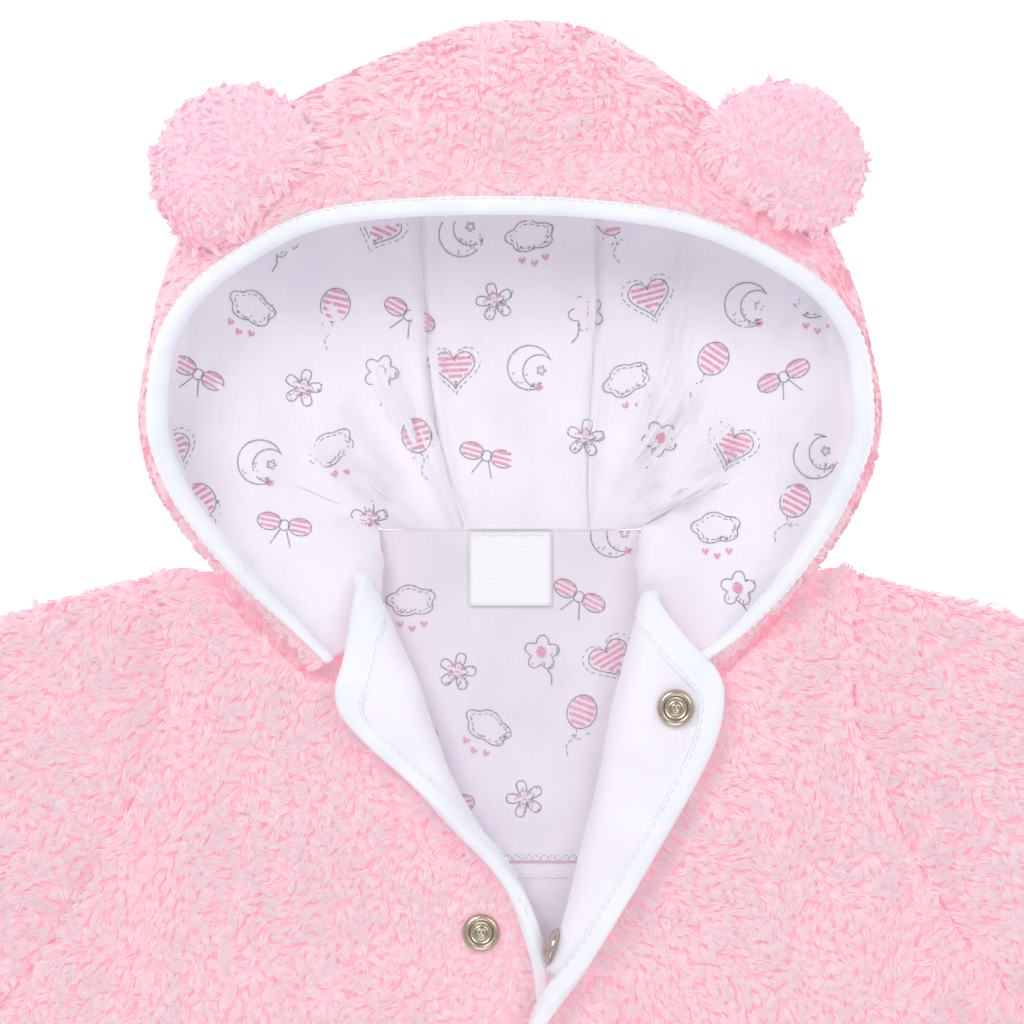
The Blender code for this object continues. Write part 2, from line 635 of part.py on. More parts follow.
def fold_heights(shape):
    """How far the lining's folds stand up at each column and row of the hood."""
    folds = columns(LINING_FOLDS)
    at = np.linspace(0, len(HOOD) - 2, shape[0])[:, None]
    share = np.linspace(0, 1, shape[1])[None, :]
    height = np.zeros(shape)
    for k in range(len(folds["height"])):
        along = (share - folds["from_share"][k]) / (folds["to_share"][k] - folds["from_share"][k])
        middle = folds["station"][k] + (folds["to_station"][k] - folds["station"][k]) * along
        side = np.exp(-(((at - middle) / folds["reach"][k]) ** 2))
        height += folds["height"][k] * side * np.sin(math.pi * np.clip(along, 0, 1))
    return height


def hood_layers():
    """The hood's grids, by the names of its layers, with a column for each station."""
    table = columns(HOOD)
    knots = np.arange(len(HOOD) - 1, dtype=float)
    at = np.linspace(0, knots[-1], HOOD_STATIONS)
    stations = {name: through(knots, values, at) for name, values in table.items()}
    for name in ("neck_z", "out_z"):
        stations[name] = np.interp(at, knots, table[name])
    outside = np.array([hood_profile({n: v[k] for n, v in stations.items()}) for k in range(HOOD_STATIONS)])
    inward = inwards(outside)
    middle = inward[HOOD_STATIONS // 2, FLOOR_STEPS // 2]
    if middle[2] < 0:
        inward = -inward
    scale = stations["thick"][:, None]
    steps = np.linalg.norm(np.diff(outside, axis=1), axis=2)
    to_rim = np.concatenate([np.cumsum(steps[:, ::-1], axis=1)[:, ::-1], np.zeros((HOOD_STATIONS, 1))], axis=1)
    thick = scale * (PLUSH_EDGE + (HOOD_PLUSH - PLUSH_EDGE) * ramp(to_rim, RIM_TAPE_LEG + 0.7, RIM_TAPE_LEG + 9.0))
    lining = np.maximum(LINING * scale, 0.6)
    inside = outside + inward * thick[..., None]
    lining_back = outside + inward * (thick + LINING_GAP)[..., None]
    folds = fold_heights(thick.shape) * scale
    lining_face = outside + inward * (thick + LINING_GAP + lining + folds)[..., None]
    return {
        "outside": outside,
        "inside": inside,
        "lining_back": lining_back,
        "lining_face": lining_face,
        "inward": inward,
        "scale": scale,
        "thick": thick,
        "lining": lining,
    }


def panel_slices(seams):
    """The stretches of columns of three panels, from the seams between them."""
    return {"left": (0, seams[0]), "centre": seams, "right": (seams[1], HOOD_STATIONS - 1)}


def parted(grid, first, last):
    """The columns of one panel, with its seams moved in by half the gap between panels."""
    piece = grid[first : last + 1].copy()
    for end, beside in ((0, 1), (-1, -2)):
        column = first if end == 0 else last
        if column in (0, HOOD_STATIONS - 1):
            continue
        way = grid[first + beside if end == 0 else last + 1 + beside] - piece[end]
        size = np.linalg.norm(way, axis=1)[:, None]
        piece[end] = piece[end] + way * np.minimum(0.5, GAP / np.maximum(size, 1e-6))
    return piece


def make_hood(layers, plush, lining):
    names = {"left": "hood_side_left", "centre": "hood_centre", "right": "hood_side_right"}
    for part, (first, last) in panel_slices(HOOD_PANEL_SEAMS).items():
        wall(names[part], parted(layers["outside"], first, last), parted(layers["inside"], first, last), plush)
    for part, (first, last) in panel_slices(LINING_PANEL_SEAMS).items():
        back, face = (parted(layers[k], first, last) for k in ("lining_back", "lining_face"))
        wall(f"hood_lining_{part}", back, face, lining)


def make_hood_tape(layers, material):
    """The tape round the hood's opening, folded over the rims of the plush and the lining."""
    rim = layers["outside"][:, -1]
    inward = layers["inward"][:, -1]
    ahead = rim - layers["outside"][:, -2]
    ahead /= np.linalg.norm(ahead, axis=1)[:, None]
    ahead -= inward * np.einsum("ij,ij->i", ahead, inward)[:, None]
    ahead /= np.linalg.norm(ahead, axis=1)[:, None]
    cloth = layers["thick"][:, -1] + LINING_GAP + layers["lining"][:, 0]
    scale = layers["scale"][:, 0]
    rings = []
    for back, share, more in (
        (RIM_TAPE_LEG, 0, -GAP),
        (RIM_TAPE_LEG, 0, -GAP - TAPE),
        (0.0, 0, -GAP - TAPE),
        (-GAP - TAPE, 0, 0.2),
        (-GAP - TAPE, 1, -0.2),
        (0.0, 1, GAP + TAPE),
        (RIM_TAPE_LEG, 1, GAP + TAPE),
        (RIM_TAPE_LEG, 1, GAP),
        (-GAP + 0.3, 1, GAP),
        (-GAP, 1, 0.0),
        (-GAP, 0, 0.0),
        (-GAP + 0.3, 0, -GAP),
    ):
        leg = back * np.where(back > 1, np.maximum(scale, 0.5), 1.0)
        rings.append(rim - ahead * np.reshape(leg, (-1, 1)) + inward * (share * cloth + more)[:, None])
    return swept("hood_binding", np.array(rings).transpose(1, 0, 2), material)


def hood_cutter(layers):
    """A closed solid of the hood and its hollow, a gap larger all round, to cut the ears with."""
    outer = layers["outside"] - layers["inward"] * (GAP + 0.1)
    count, around = outer.shape[:2]
    cutter = swept("ear_cutter", outer, cloth_material("cutter", (0.5, 0.5, 0.5), 0.5))
    cutter.hide_render = True
    cutter.display_type = "WIRE"
    return cutter


def make_ear(ear, cutter, material):
    """Two puffed halves that meet at a seam round the ear, cut to the hood that they are sewn to."""
    side = "left" if ear["side"] < 0 else "right"
    angle = math.radians(ear["seam_angle"])
    along = np.array([math.cos(angle), math.sin(angle), 0.0])
    level_out = np.array([-along[1], along[0], 0.0])
    if level_out[1] < 0:
        level_out = -level_out
    up = np.array([0.0, 0.0, 1.0])
    out = level_out * math.cos(EAR_TILT) - up * math.sin(EAR_TILT)
    normal = level_out * math.sin(EAR_TILT) + up * math.cos(EAR_TILT)
    centre = np.array([ear["x"], ear["y"], ear["z"]])
    for half, puff in (("front", EAR_FRONT), ("back", -EAR_BACK)):
        rings = []
        for ring in range(1, EAR_RINGS + 1):
            share = math.sin(math.pi / 2 * ring / EAR_RINGS)
            points = []
            for k in range(EAR_AROUND):
                turn = 2 * math.pi * k / EAR_AROUND
                reach = ear["radius"]
                if math.sin(turn) < 0:
                    reach = min(reach, EAR_TO_SEAM / -math.sin(turn))
                rise = puff * (1 - share**3) ** 0.55 + math.copysign(GAP / 2, puff)
                spread = reach * share
                flat = math.cos(turn) * along + math.sin(turn) * out * 1.08
                points.append(centre + spread * flat + rise * normal)
            rings.append(points)
        points = [centre + normal * (puff + math.copysign(GAP / 2, puff))]
        points += [p for ring in rings for p in ring]
        faces = []
        for k in range(EAR_AROUND):
            after = (k + 1) % EAR_AROUND
            faces.append([0, 1 + k, 1 + after])
            for ring in range(EAR_RINGS - 1):
                low, high = 1 + ring * EAR_AROUND, 1 + (ring + 1) * EAR_AROUND
                faces.append([low + k, high + k, high + after, low + after])
        rim = 1 + (EAR_RINGS - 1) * EAR_AROUND
        faces.append([rim + k for k in range(EAR_AROUND)][::-1])
        made = add_solid(f"ear_{side}_{half}", points, faces, material)
        cut = made.modifiers.new("sewn to the hood", "BOOLEAN")
        cut.operation = "DIFFERENCE"
        cut.object = cutter
        cut.solver = "EXACT"


# What lies in the neck


def flat_sheet(name, lines, under, thick, material):
    """A level sheet whose rows run between the points of lines: (half width or left and right, down)."""
    rows = [[(left + (right - left) * k / 4, -down, under) for k in range(5)] for left, right, down in lines]
    below = np.array(rows, float)
    return wall(name, below, below + [0.0, 0.0, thick], material)


def make_neck_lining(printed, plain, label):
    half = LINING_HALF
    flat_sheet(
        "back_lining_print",
        [(5 - half, half - 5, 0.3), (3 - half, half - 3, 5.0), (-half, half, 14.0), (-half, half, PRINT_DOWN)],
        LINING_UNDER,
        LINING,
        printed,
    )
    flat_sheet(
        "back_lining_plain",
        [(-half, half, PRINT_DOWN + GAP), (-half, half, PLAIN_DOWN)],
        LINING_UNDER,
        LINING,
        plain,
    )
    flat_sheet(
        "label",
        [(LABEL["left"], LABEL["right"], LABEL["top"]), (LABEL["left"], LABEL["right"], LABEL["bottom"])],
        LINING_UNDER + LINING + GAP,
        LABEL["thick"],
        label,
    )


def make_studs(upper, lower, material):
    profile = columns(STUD_PROFILE)

    def place_stud(name, front, along, down, on_facing):
        along, down = np.array(along), np.array(down)
        off = -(FACING_GAP + LINING + 2 * GAP) if on_facing else front.thickness(along, down) + 2 * GAP
        out = front.faces(along, down) * (-1 if on_facing else 1)
        turned(name, profile, STUD_SIDES, front.rolled(along, down, off), out, material)

    start, length, _, _ = upper.roll(np.array(LAPEL_STUD["down"]))
    place_stud("stud_lapel", upper, start - length - (LAPEL_STUD["x"] - start), LAPEL_STUD["down"], True)
    start, length, _, _ = upper.roll(np.array(FOLD_STUD_DOWN))
    place_stud("stud_fold", upper, start - length / 2, FOLD_STUD_DOWN, True)
    place_stud("stud_front", lower, lower.side * LOWER_STUD["x"], LOWER_STUD["down"], False)
    for name, down in UPPER_STUDS_DOWN.items():
        place_stud(name, upper, UPPER_STUDS_OUT, down, False)


def settle_on_origin():
    """Moves the whole coat, so that its origin is at the middle of its underside."""
    made = [o for o in bpy.data.objects if not o.hide_render]
    corners = np.array([v.co for o in made for v in o.data.vertices])
    low, high = corners.min(axis=0), corners.max(axis=0)
    shift = np.array([(low[0] + high[0]) / 2, (low[1] + high[1]) / 2, low[2]])
    for thing in bpy.data.objects:
        for vertex in thing.data.vertices:
            vertex.co = [vertex.co[k] - shift[k] for k in range(3)]
    print("moved by", np.round(-shift / MM, 3).tolist(), "mm")


def main():
    clear_scene()
    plush = cloth_material("pink_plush", (0.91, 0.60, 0.68), 0.95)
    ear_plush = cloth_material("ear_plush", (0.92, 0.62, 0.74), 0.95)
    printed = cloth_material("printed_lining", (0.91, 0.84, 0.94), 0.85)
    plain = cloth_material("plain_lining", (0.93, 0.91, 0.96), 0.85)
    tape = cloth_material("white_tape", (0.89, 0.91, 0.98), 0.75)
    woven = cloth_material("woven_label", (0.95, 0.95, 0.96), 0.6)
    nickel = cloth_material("nickel", (0.62, 0.58, 0.53), 0.28, 1.0)

    make_back(plush)
    upper = Front(1, UPPER_FRONT_EDGE, UPPER_NECK_ROLL, UPPER_NECK_FLAP, True)
    lower = Front(-1, LOWER_FRONT_EDGE, LOWER_NECK_ROLL, LOWER_NECK_FLAP, False)
    for front, side in ((upper, "right"), (lower, "left")):
        front.make_panel(f"front_{side}", plush)
        front.make_facing(f"facing_{side}", plain)
        front.make_tape(f"binding_{side}", tape)
        make_sleeve(f"sleeve_{side}", front.side, plush)
    layers = hood_layers()
    make_hood(layers, plush, printed)
    make_hood_tape(layers, tape)
    cutter = hood_cutter(layers)
    ears = columns(EARS)
    for k in range(len(ears["side"])):
        make_ear({name: values[k] for name, values in ears.items()}, cutter, ear_plush)
    make_neck_lining(printed, plain, woven)
    make_studs(upper, lower, nickel)
    settle_on_origin()


main()
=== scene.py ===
# %% [markdown]
# This lesson dresses the solids of a baby's hooded plush coat, so that they look like the coat in the photograph.
# The coat lies flat on a white table with its neck open, and the camera looks straight down at the hood.
# First come the tools, and the solids that every piece here is fitted to.

# %% The tools and the solids
import math

import bpy
import numpy as np
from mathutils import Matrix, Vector, noise
from mathutils.bvhtree import BVHTree


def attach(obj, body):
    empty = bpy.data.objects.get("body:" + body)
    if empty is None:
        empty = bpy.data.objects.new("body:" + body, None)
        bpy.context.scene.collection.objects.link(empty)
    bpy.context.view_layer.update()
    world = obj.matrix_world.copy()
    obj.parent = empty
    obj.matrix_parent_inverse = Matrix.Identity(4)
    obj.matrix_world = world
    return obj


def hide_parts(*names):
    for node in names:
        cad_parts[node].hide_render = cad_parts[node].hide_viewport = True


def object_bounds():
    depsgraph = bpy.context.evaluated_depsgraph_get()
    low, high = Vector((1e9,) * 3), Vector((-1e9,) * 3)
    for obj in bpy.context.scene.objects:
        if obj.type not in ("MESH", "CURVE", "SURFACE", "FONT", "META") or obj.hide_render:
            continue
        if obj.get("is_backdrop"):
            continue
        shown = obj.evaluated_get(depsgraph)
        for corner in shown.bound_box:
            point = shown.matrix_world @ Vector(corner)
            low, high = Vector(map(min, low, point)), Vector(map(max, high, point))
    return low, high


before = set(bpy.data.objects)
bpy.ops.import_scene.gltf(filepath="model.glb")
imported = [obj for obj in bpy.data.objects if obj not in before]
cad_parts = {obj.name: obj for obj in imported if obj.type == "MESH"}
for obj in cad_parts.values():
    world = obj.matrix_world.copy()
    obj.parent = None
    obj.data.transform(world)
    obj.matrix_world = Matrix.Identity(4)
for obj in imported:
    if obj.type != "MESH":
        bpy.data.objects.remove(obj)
solid_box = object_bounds()
MM = 0.001
GARMENT_TO_TABLE = np.array([0.0, 94.524, 0.0])  # the tables below count from the back neck seam
print("the solids reach", [round(float(v), 4) for corner in solid_box for v in corner])

# %% [markdown]
# The photograph was taken from straight above, through a long lens. One pixel is 0.30 mm at the coat, so the frame
# is 307 mm wide there. A camera 1.6 m up, whose lens is worked out from that width, gives the same flat view.

# %% The camera
VIEW_WIDTH = 0.3072
VIEW_MIDDLE = (0.0006, 0.0996)
VIEW_HEIGHT = 1.6
COAT_HEIGHT = 0.02

camera_data = bpy.data.cameras.new("camera above the table")
camera_data.lens = camera_data.sensor_width * (VIEW_HEIGHT - COAT_HEIGHT) / VIEW_WIDTH
camera_data.clip_start = 0.05
camera_data.clip_end = 20.0
camera = bpy.data.objects.new("camera above the table", camera_data)
camera.location = (*VIEW_MIDDLE, VIEW_HEIGHT)
bpy.context.scene.collection.objects.link(camera)
bpy.context.scene.camera = camera
print("lens", round(camera_data.lens), "mm")

# %% [markdown]
# The picture's white ground is a table under big soft lamps. The floor glows a little by itself, which keeps it
# white under the coat, and one large lamp stands a bit to the upper left, so that folds get a soft dark side.

# %% The table and the lamps


def linear(code):
    """A colour from its sRGB hex code, such as F7D3DB, as the shader wants it."""
    parts = [int(code[k : k + 2], 16) / 255 for k in (0, 2, 4)]
    return tuple(p / 12.92 if p <= 0.04045 else ((p + 0.055) / 1.055) ** 2.4 for p in parts) + (1.0,)


def add_node(tree, kind, links=(), **settings):
    """One shader node with its settings. links holds (input, output socket) pairs, and a setting may name an input."""
    made = tree.nodes.new(kind)
    for key, value in settings.items():
        if hasattr(made, key):
            setattr(made, key, value)
        else:
            made.inputs[key.replace("_", " ")].default_value = value
    for socket, source in links:
        tree.links.new(source, made.inputs[socket])
    return made


def new_material(name):
    material = bpy.data.materials.new(name)
    material.use_nodes = True
    material.node_tree.nodes.clear()
    return material, material.node_tree


def add_lamp(name, place, target, size, power, colour):
    lamp = bpy.data.lights.new(name, "AREA")
    lamp.shape = "DISK"
    lamp.size = size
    lamp.energy = power
    lamp.color = linear(colour)[:3]
    made = bpy.data.objects.new(name, lamp)
    made.location = place
    made.rotation_euler = (Vector(target) - Vector(place)).to_track_quat("-Z", "Y").to_euler()
    bpy.context.scene.collection.objects.link(made)


painted_board, tree = new_material("matt white painted board")
glow = add_node(tree, "ShaderNodeBsdfPrincipled", Base_Color=linear("FFFFFF"), Roughness=0.9, Emission_Strength=0.85)
glow.inputs["Emission Color"].default_value = linear("FFFFFF")
add_node(tree, "ShaderNodeOutputMaterial", [("Surface", glow.outputs[0])])
board = bpy.data.meshes.new("table top")
board.from_pydata([(-2, -2, -0.0006), (2, -2, -0.0006), (2, 2, -0.0006), (-2, 2, -0.0006)], [], [(0, 1, 2, 3)])
board.materials.append(painted_board)
table_top = bpy.data.objects.new("table_top", board)
bpy.context.scene.collection.objects.link(table_top)
table_top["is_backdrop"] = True

add_lamp("lamp upper left", (-0.7, 1.0, 1.5), (0.0, 0.1, 0.0), 0.9, 10.0, "FFFDFA")
add_lamp("lamp upper right", (0.9, 0.7, 1.5), (0.0, 0.1, 0.0), 0.9, 4.5, "FBFCFF")
add_lamp("lamp below", (0.0, -1.15, 1.0), (0.0, 0.05, 0.0), 1.2, 4.6, "FFFFFF")
world = bpy.data.worlds.new("white room")
world.use_nodes = True
world.node_tree.nodes["Background"].inputs["Color"].default_value = linear("FAFAFF")
world.node_tree.nodes["Background"].inputs["Strength"].default_value = 0.55
bpy.context.scene.world = world
bpy.context.scene.view_settings.view_transform = "Standard"

# %% [markdown]
# The coat's panels follow the same tables of measures as its solids: each row gives a place down the coat and how
# far the cloth reaches there. A smooth curve runs through the rows.

# %% Measures and curves
GAP = 0.3  # between pieces that touch
PLUSH = 5.0  # backing and pile of a panel that faces up
PLUSH_BELOW = 3.8  # of one that the coat lies on
PLUSH_EDGE = 2.0  # at a seam or under a tape
UNDER_TAPE = 3.2  # how far from a taped edge the plush stays that thin
LINING = 1.0
FACING_GAP = 0.8  # between a front and its facing
TAPE = 0.8
TAPE_GAP = 0.8  # round what a tape is folded over, which bends under it
SLANT = 0.55  # the share of a distance down the flap that is square to its top edge
TAPE_SHOWS = 5.6  # how wide the front's tape lies on the facing
TAPE_BEHIND = 2.6  # and on the pile
HEM_DOWN = 342.0
ARMPIT_DOWN = 151.0
FRONT_UNDER = 7.8  # height of the fronts' lining side, over the back and its lining
SIDE_UNDER = 4.6  # the same at the side seam, where it meets the back
ROLL_RADIUS = 5.6  # a turned-back corner rolls round this
OVERLAP_LIFT = 6.2  # how much higher the upper front lies on the lower one
SQUEEZED = 3.0  # plush under the overlap
OUTER_EDGE = (  # armhole, then side seam: the body's half width
    ("down", "out"),
    (12.0, 104.4),
    (33.0, 103.0),
    (59.0, 104.0),
    (81.0, 113.0),
    (105.0, 125.0),
    (130.0, 141.0),
    (151.0, 157.0),
    (220.0, 160.0),
    (342.0, 165.0),
)


def columns(table):
    """A table's columns as arrays, by the names in its first row."""
    names, *rows = table
    return dict(zip(names, np.array(rows, float).T))


def through(knots, values, where):
    """The values at each place in where, on a smooth curve through the values at the knots. It stays between them."""
    knots = np.asarray(knots, float)
    values = np.asarray(values, float)
    where = np.clip(where, knots[0], knots[-1])
    rise = np.diff(values) / np.diff(knots)
    slopes = np.gradient(values, knots)
    least = np.minimum(np.abs(rise[1:]), np.abs(rise[:-1]))
    same_way = rise[1:] * rise[:-1] > 0
    slopes[1:-1] = np.where(same_way, np.sign(slopes[1:-1]) * np.minimum(np.abs(slopes[1:-1]), 3 * least), 0.0)
    i = np.clip(np.searchsorted(knots, where, side="right") - 1, 0, len(knots) - 2)
    step = knots[i + 1] - knots[i]
    t = (where - knots[i]) / step
    return (
        (2 * t**3 - 3 * t**2 + 1) * values[i]
        + (t**3 - 2 * t**2 + t) * step * slopes[i]
        + (3 * t**2 - 2 * t**3) * values[i + 1]
        + (t**3 - t**2) * step * slopes[i + 1]
    )


def ramp(value, start, end):
    """0 at start, 1 at end and a smooth S between them."""
    t = np.clip((value - start) / (end - start), 0, 1)
    return t * t * (3 - 2 * t)


def rounded(distance, reach):
    """0 on an edge, rising as a quarter round to 1 this far from it."""
    t = 1 - np.clip(distance / reach, 0, 1)
    return np.sqrt(1 - t * t)


def outer_edge(down):
    """The body's half width this far down."""
    edge = columns(OUTER_EDGE)
    return through(edge["down"], edge["out"], down)


# %% [markdown]
# A front is worked out as flat cloth, and then its corner is rolled back, as it lies on the real coat. The lining
# side of the cloth is the sheet at no offset, and the pile stands off it.

# %% The fronts' cloth
UPPER_FRONT_EDGE = (
    ("down", "reach", "turn", "flap"),
    (19.0, 39.3, 180, 24.1),
    (34.0, 35.9, 180, 24.1),
    (47.4, 32.1, 180, 24.1),
    (59.4, 29.4, 180, 25.3),
    (70.5, 27.2, 180, 23.0),
    (83.4, 24.3, 180, 19.0),
    (97.5, 20.7, 180, 14.5),
    (110.7, 17.7, 180, 9.4),
    (124.8, 13.8, 180, 4.6),
    (131.7, 11.4, 165, 3.0),
    (138.0, 9.0, 138, 3.0),
    (148.5, 5.6, 85, 3.0),
    (160.0, 1.0, 40, 3.0),
    (175.0, -4.0, 12, 3.0),
    (190.0, -8.0, 2, 3.0),
    (240.0, -11.0, 2, 3.0),
    (342.0, -12.0, 2, 3.0),
)
LOWER_FRONT_EDGE = (
    ("down", "reach", "turn", "flap"),
    (13.8, 42.0, 180, 17.8),
    (31.5, 33.9, 180, 17.8),
    (47.4, 27.0, 180, 17.8),
    (55.5, 24.3, 180, 18.7),
    (62.0, 22.0, 180, 15.2),
    (69.6, 19.5, 180, 9.4),
    (76.5, 16.2, 170, 4.9),
    (84.6, 11.7, 150, 4.0),
    (92.0, 6.6, 130, 4.0),
    (99.6, 0.9, 110, 4.0),
    (107.0, -3.4, 90, 4.0),
    (114.6, -7.2, 70, 4.0),
    (123.0, -10.0, 50, 4.0),
    (131.7, -12.3, 32, 4.0),
    (150.0, -13.0, 10, 4.0),
    (170.0, -13.0, 2, 4.0),
    (342.0, -12.0, 2, 3.0),
)
NECK_FLAT = (
    ("share", "down"),
    (0.00, 12.4),
    (0.14, 11.6),
    (0.26, 17.2),
    (0.42, 31.4),
    (0.54, 39.0),
    (0.61, 45.0),
    (0.70, 46.6),
    (0.80, 46.6),
    (0.90, 43.0),
    (1.00, 38.0),
)
UPPER_NECK_ROLL = (("share", "down"), (0.0, 38.0), (0.25, 27.0), (0.5, 19.5), (0.75, 21.0), (1.0, 25.6))
UPPER_NECK_FLAP = (("share", "down"), (0.0, 25.6), (0.5, 36.0), (0.9, 44.8), (1.0, 48.4))
LOWER_NECK_ROLL = (("share", "down"), (0.0, 38.0), (0.25, 25.0), (0.5, 14.5), (0.75, 17.5), (1.0, 22.9))
LOWER_NECK_FLAP = (("share", "down"), (0.0, 22.9), (0.5, 35.0), (0.9, 46.2), (1.0, 49.6))
FLAT_SHARES = (0.0, 0.04, 0.1, 0.18, 0.26, 0.34, 0.42, 0.5, 0.56, 0.61, 0.7, 0.8, 0.9, 1.0)
ROLL_STEPS = 6
FLAP_STEPS = 3
ROW_SHARES = (0.0, 0.02, 0.08, 0.2, 0.34, 0.44, 0.51, 0.555, 0.59, 0.62, 0.65, 0.68, 0.705, 0.73, 0.755, 0.78, 0.805,
              0.832, 0.862, 0.891, 0.92, 0.95, 0.972, 0.989, 1.0)
STUD_DIMPLE = 11.0  # how far the pile is pressed round a stud
LOWER_STUD = {"x": -8.7, "down": 121.8}


class Front:
    """One front. Its cloth is laid out flat as (along, down), and rolled() says where that lies in space."""

    def __init__(self, side, edge, neck_roll, neck_flap, upper):
        self.side = side
        self.edge = columns(edge)
        self.neck = [columns(t) for t in (NECK_FLAT, neck_roll, neck_flap)]
        self.upper = upper

    def at(self, name, down):
        return through(self.edge["down"], self.edge[name], down)

    def roll(self, down):
        """Where the roll starts, how long it is, its angle and how far the flap runs on."""
        angle = np.radians(self.at("turn", down))
        length = np.maximum(ROLL_RADIUS * angle, 9.0)
        flap = np.maximum(self.at("flap", down), UNDER_TAPE + 0.8)
        past_level = angle > math.pi / 2
        radius = length / angle
        taken = np.where(
            past_level,
            radius + FACING_GAP + LINING,
            radius * np.sin(angle) + flap * np.cos(angle) + TAPE_GAP + TAPE,
        )
        return self.at("reach", down) + taken, length, angle, flap

    def free_edge(self, down):
        """Where the cloth ends, laid out flat."""
        start, length, _, flap = self.roll(down)
        return start - length - flap

    def slant(self, down):
        """How much longer a step along the cloth is than the same step square to its free edge."""
        return np.hypot(1.0, self.free_edge(down + 0.5) - self.free_edge(down - 0.5))

    def under(self, out, down):
        """The height of the cloth's lining side where it lies flat."""
        level = SIDE_UNDER + (FRONT_UNDER - SIDE_UNDER) * rounded(outer_edge(down) - out, 16.0)
        level = FRONT_UNDER + (level - FRONT_UNDER) * ramp(down, ARMPIT_DOWN - 12, ARMPIT_DOWN + 6)
        if self.upper:
            level = level + OVERLAP_LIFT * ramp(-out, -46.0, -20.0) * ramp(down, 84.0, 126.0)
        return level

    def thickness(self, along, down, top=None):
        """Of the plush: thinner at its edges and seams, under the overlap and round its studs."""
        from_free_edge = (along - self.free_edge(down)) / self.slant(down)
        if top is not None:
            turned_back = along < self.roll(down)[0]
            from_free_edge = np.minimum(from_free_edge, np.where(turned_back, SLANT * (down - top), PLUSH * 10))
        from_side = outer_edge(down) - along
        thick = PLUSH_EDGE + (PLUSH - PLUSH_EDGE) * rounded(from_free_edge - UNDER_TAPE - 2.0, 8.0)
        at_side = np.where(down > ARMPIT_DOWN - 6, 2.0, 3.4)
        thick = np.minimum(thick, at_side + (PLUSH - at_side) * rounded(from_side, 11.0))
        if self.upper:
            pressed = ramp(-along, -20.0, -9.0) * ramp(down, 150.0, 185.0)
        else:
            pressed = ramp(-along, -28.0, -13.0) * ramp(down, 128.0, 140.0)
            near = np.hypot(along - self.side * LOWER_STUD["x"], down - LOWER_STUD["down"])
            pressed = np.maximum(pressed, 1.2 * (1 - ramp(near, STUD_DIMPLE, 2 * STUD_DIMPLE)))
        thick = np.minimum(thick, PLUSH - (PLUSH - SQUEEZED) * pressed)
        return np.maximum(thick, PLUSH_EDGE)

    def rolled(self, along, down, off):
        """The place in space of a point of the flat cloth, off this far towards the pile."""
        start, length, angle, _ = self.roll(down)
        radius = length / angle
        turn = np.clip((start - along) / radius, 0, angle)
        past = np.maximum(start - along - length, 0)
        before = np.maximum(along - start, 0)
        x = start + before - radius * np.sin(turn) - past * np.cos(turn)
        z = radius * (1 - np.cos(turn)) + past * np.sin(turn)
        level = self.under(np.maximum(along, start), down)
        x = x + off * np.sin(turn)
        z = z + off * np.cos(turn) + level
        return np.stack([self.side * x, -down + 0 * x, z], axis=-1)

    def faces(self, along, down):
        """The direction in which the pile side of the cloth faces, at a point of it."""
        step = 0.5
        across = self.rolled(along + step, down, 0.0) - self.rolled(along - step, down, 0.0)
        towards = self.rolled(along, down + step, 0.0) - self.rolled(along, down - step, 0.0)
        normal = np.cross(across, towards)
        pile = self.rolled(along, down, 1.0) - self.rolled(along, down, 0.0)
        return normal * np.sign(normal @ pile)

    def grid(self):
        """The cloth laid out flat: where along and how far down each of its points is."""
        shares = [("flat", s) for s in FLAT_SHARES]
        shares += [("roll", (k + 1) / ROLL_STEPS) for k in range(ROLL_STEPS)]
        shares += [("flap", k) for k in range(FLAP_STEPS)]
        along, down = [], []
        for kind, share in shares:
            neck = self.neck[("flat", "roll", "flap").index(kind)]
            top = through(neck["share"], neck["down"], (0.5, 0.88, 1.0)[share] if kind == "flap" else share)
            here = HEM_DOWN + (top - HEM_DOWN) * np.array(ROW_SHARES)
            start, length, _, flap = self.roll(here)
            if kind == "flat":
                side = outer_edge(here) - GAP / 2
                along.append(side + (start - side) * share)
            elif kind == "roll":
                along.append(start - length * share)
            else:  # the last stretch of the flap is what the tape covers
                bare = flap - UNDER_TAPE
                along.append(start - length - (bare / 2, bare, flap)[share])
            down.append(here)
        return np.array(along).T, np.array(down).T

    def edge_line(self):
        """The free edge on the flat cloth, from the hem to the corner and on along the flap's top edge."""
        along, down = self.grid()
        corner = down.shape[0] - 1
        line = np.stack([along[:, -1], down[:, -1]], axis=1)
        top = np.stack([along[corner], down[corner]], axis=1)[::-1][1:FLAP_STEPS]
        return np.concatenate([line, top])



upper = Front(1, UPPER_FRONT_EDGE, UPPER_NECK_ROLL, UPPER_NECK_FLAP, True)
lower = Front(-1, LOWER_FRONT_EDGE, LOWER_NECK_ROLL, LOWER_NECK_FLAP, False)
print("a front's cloth has", upper.grid()[0].shape, "rows and columns")

# %% [markdown]
# The hood is worked out station by station round its opening: up from the neck seam, over the table, up the wall
# and over the crown to the rim. More steps than the solids have make its cloth smooth to the eye.

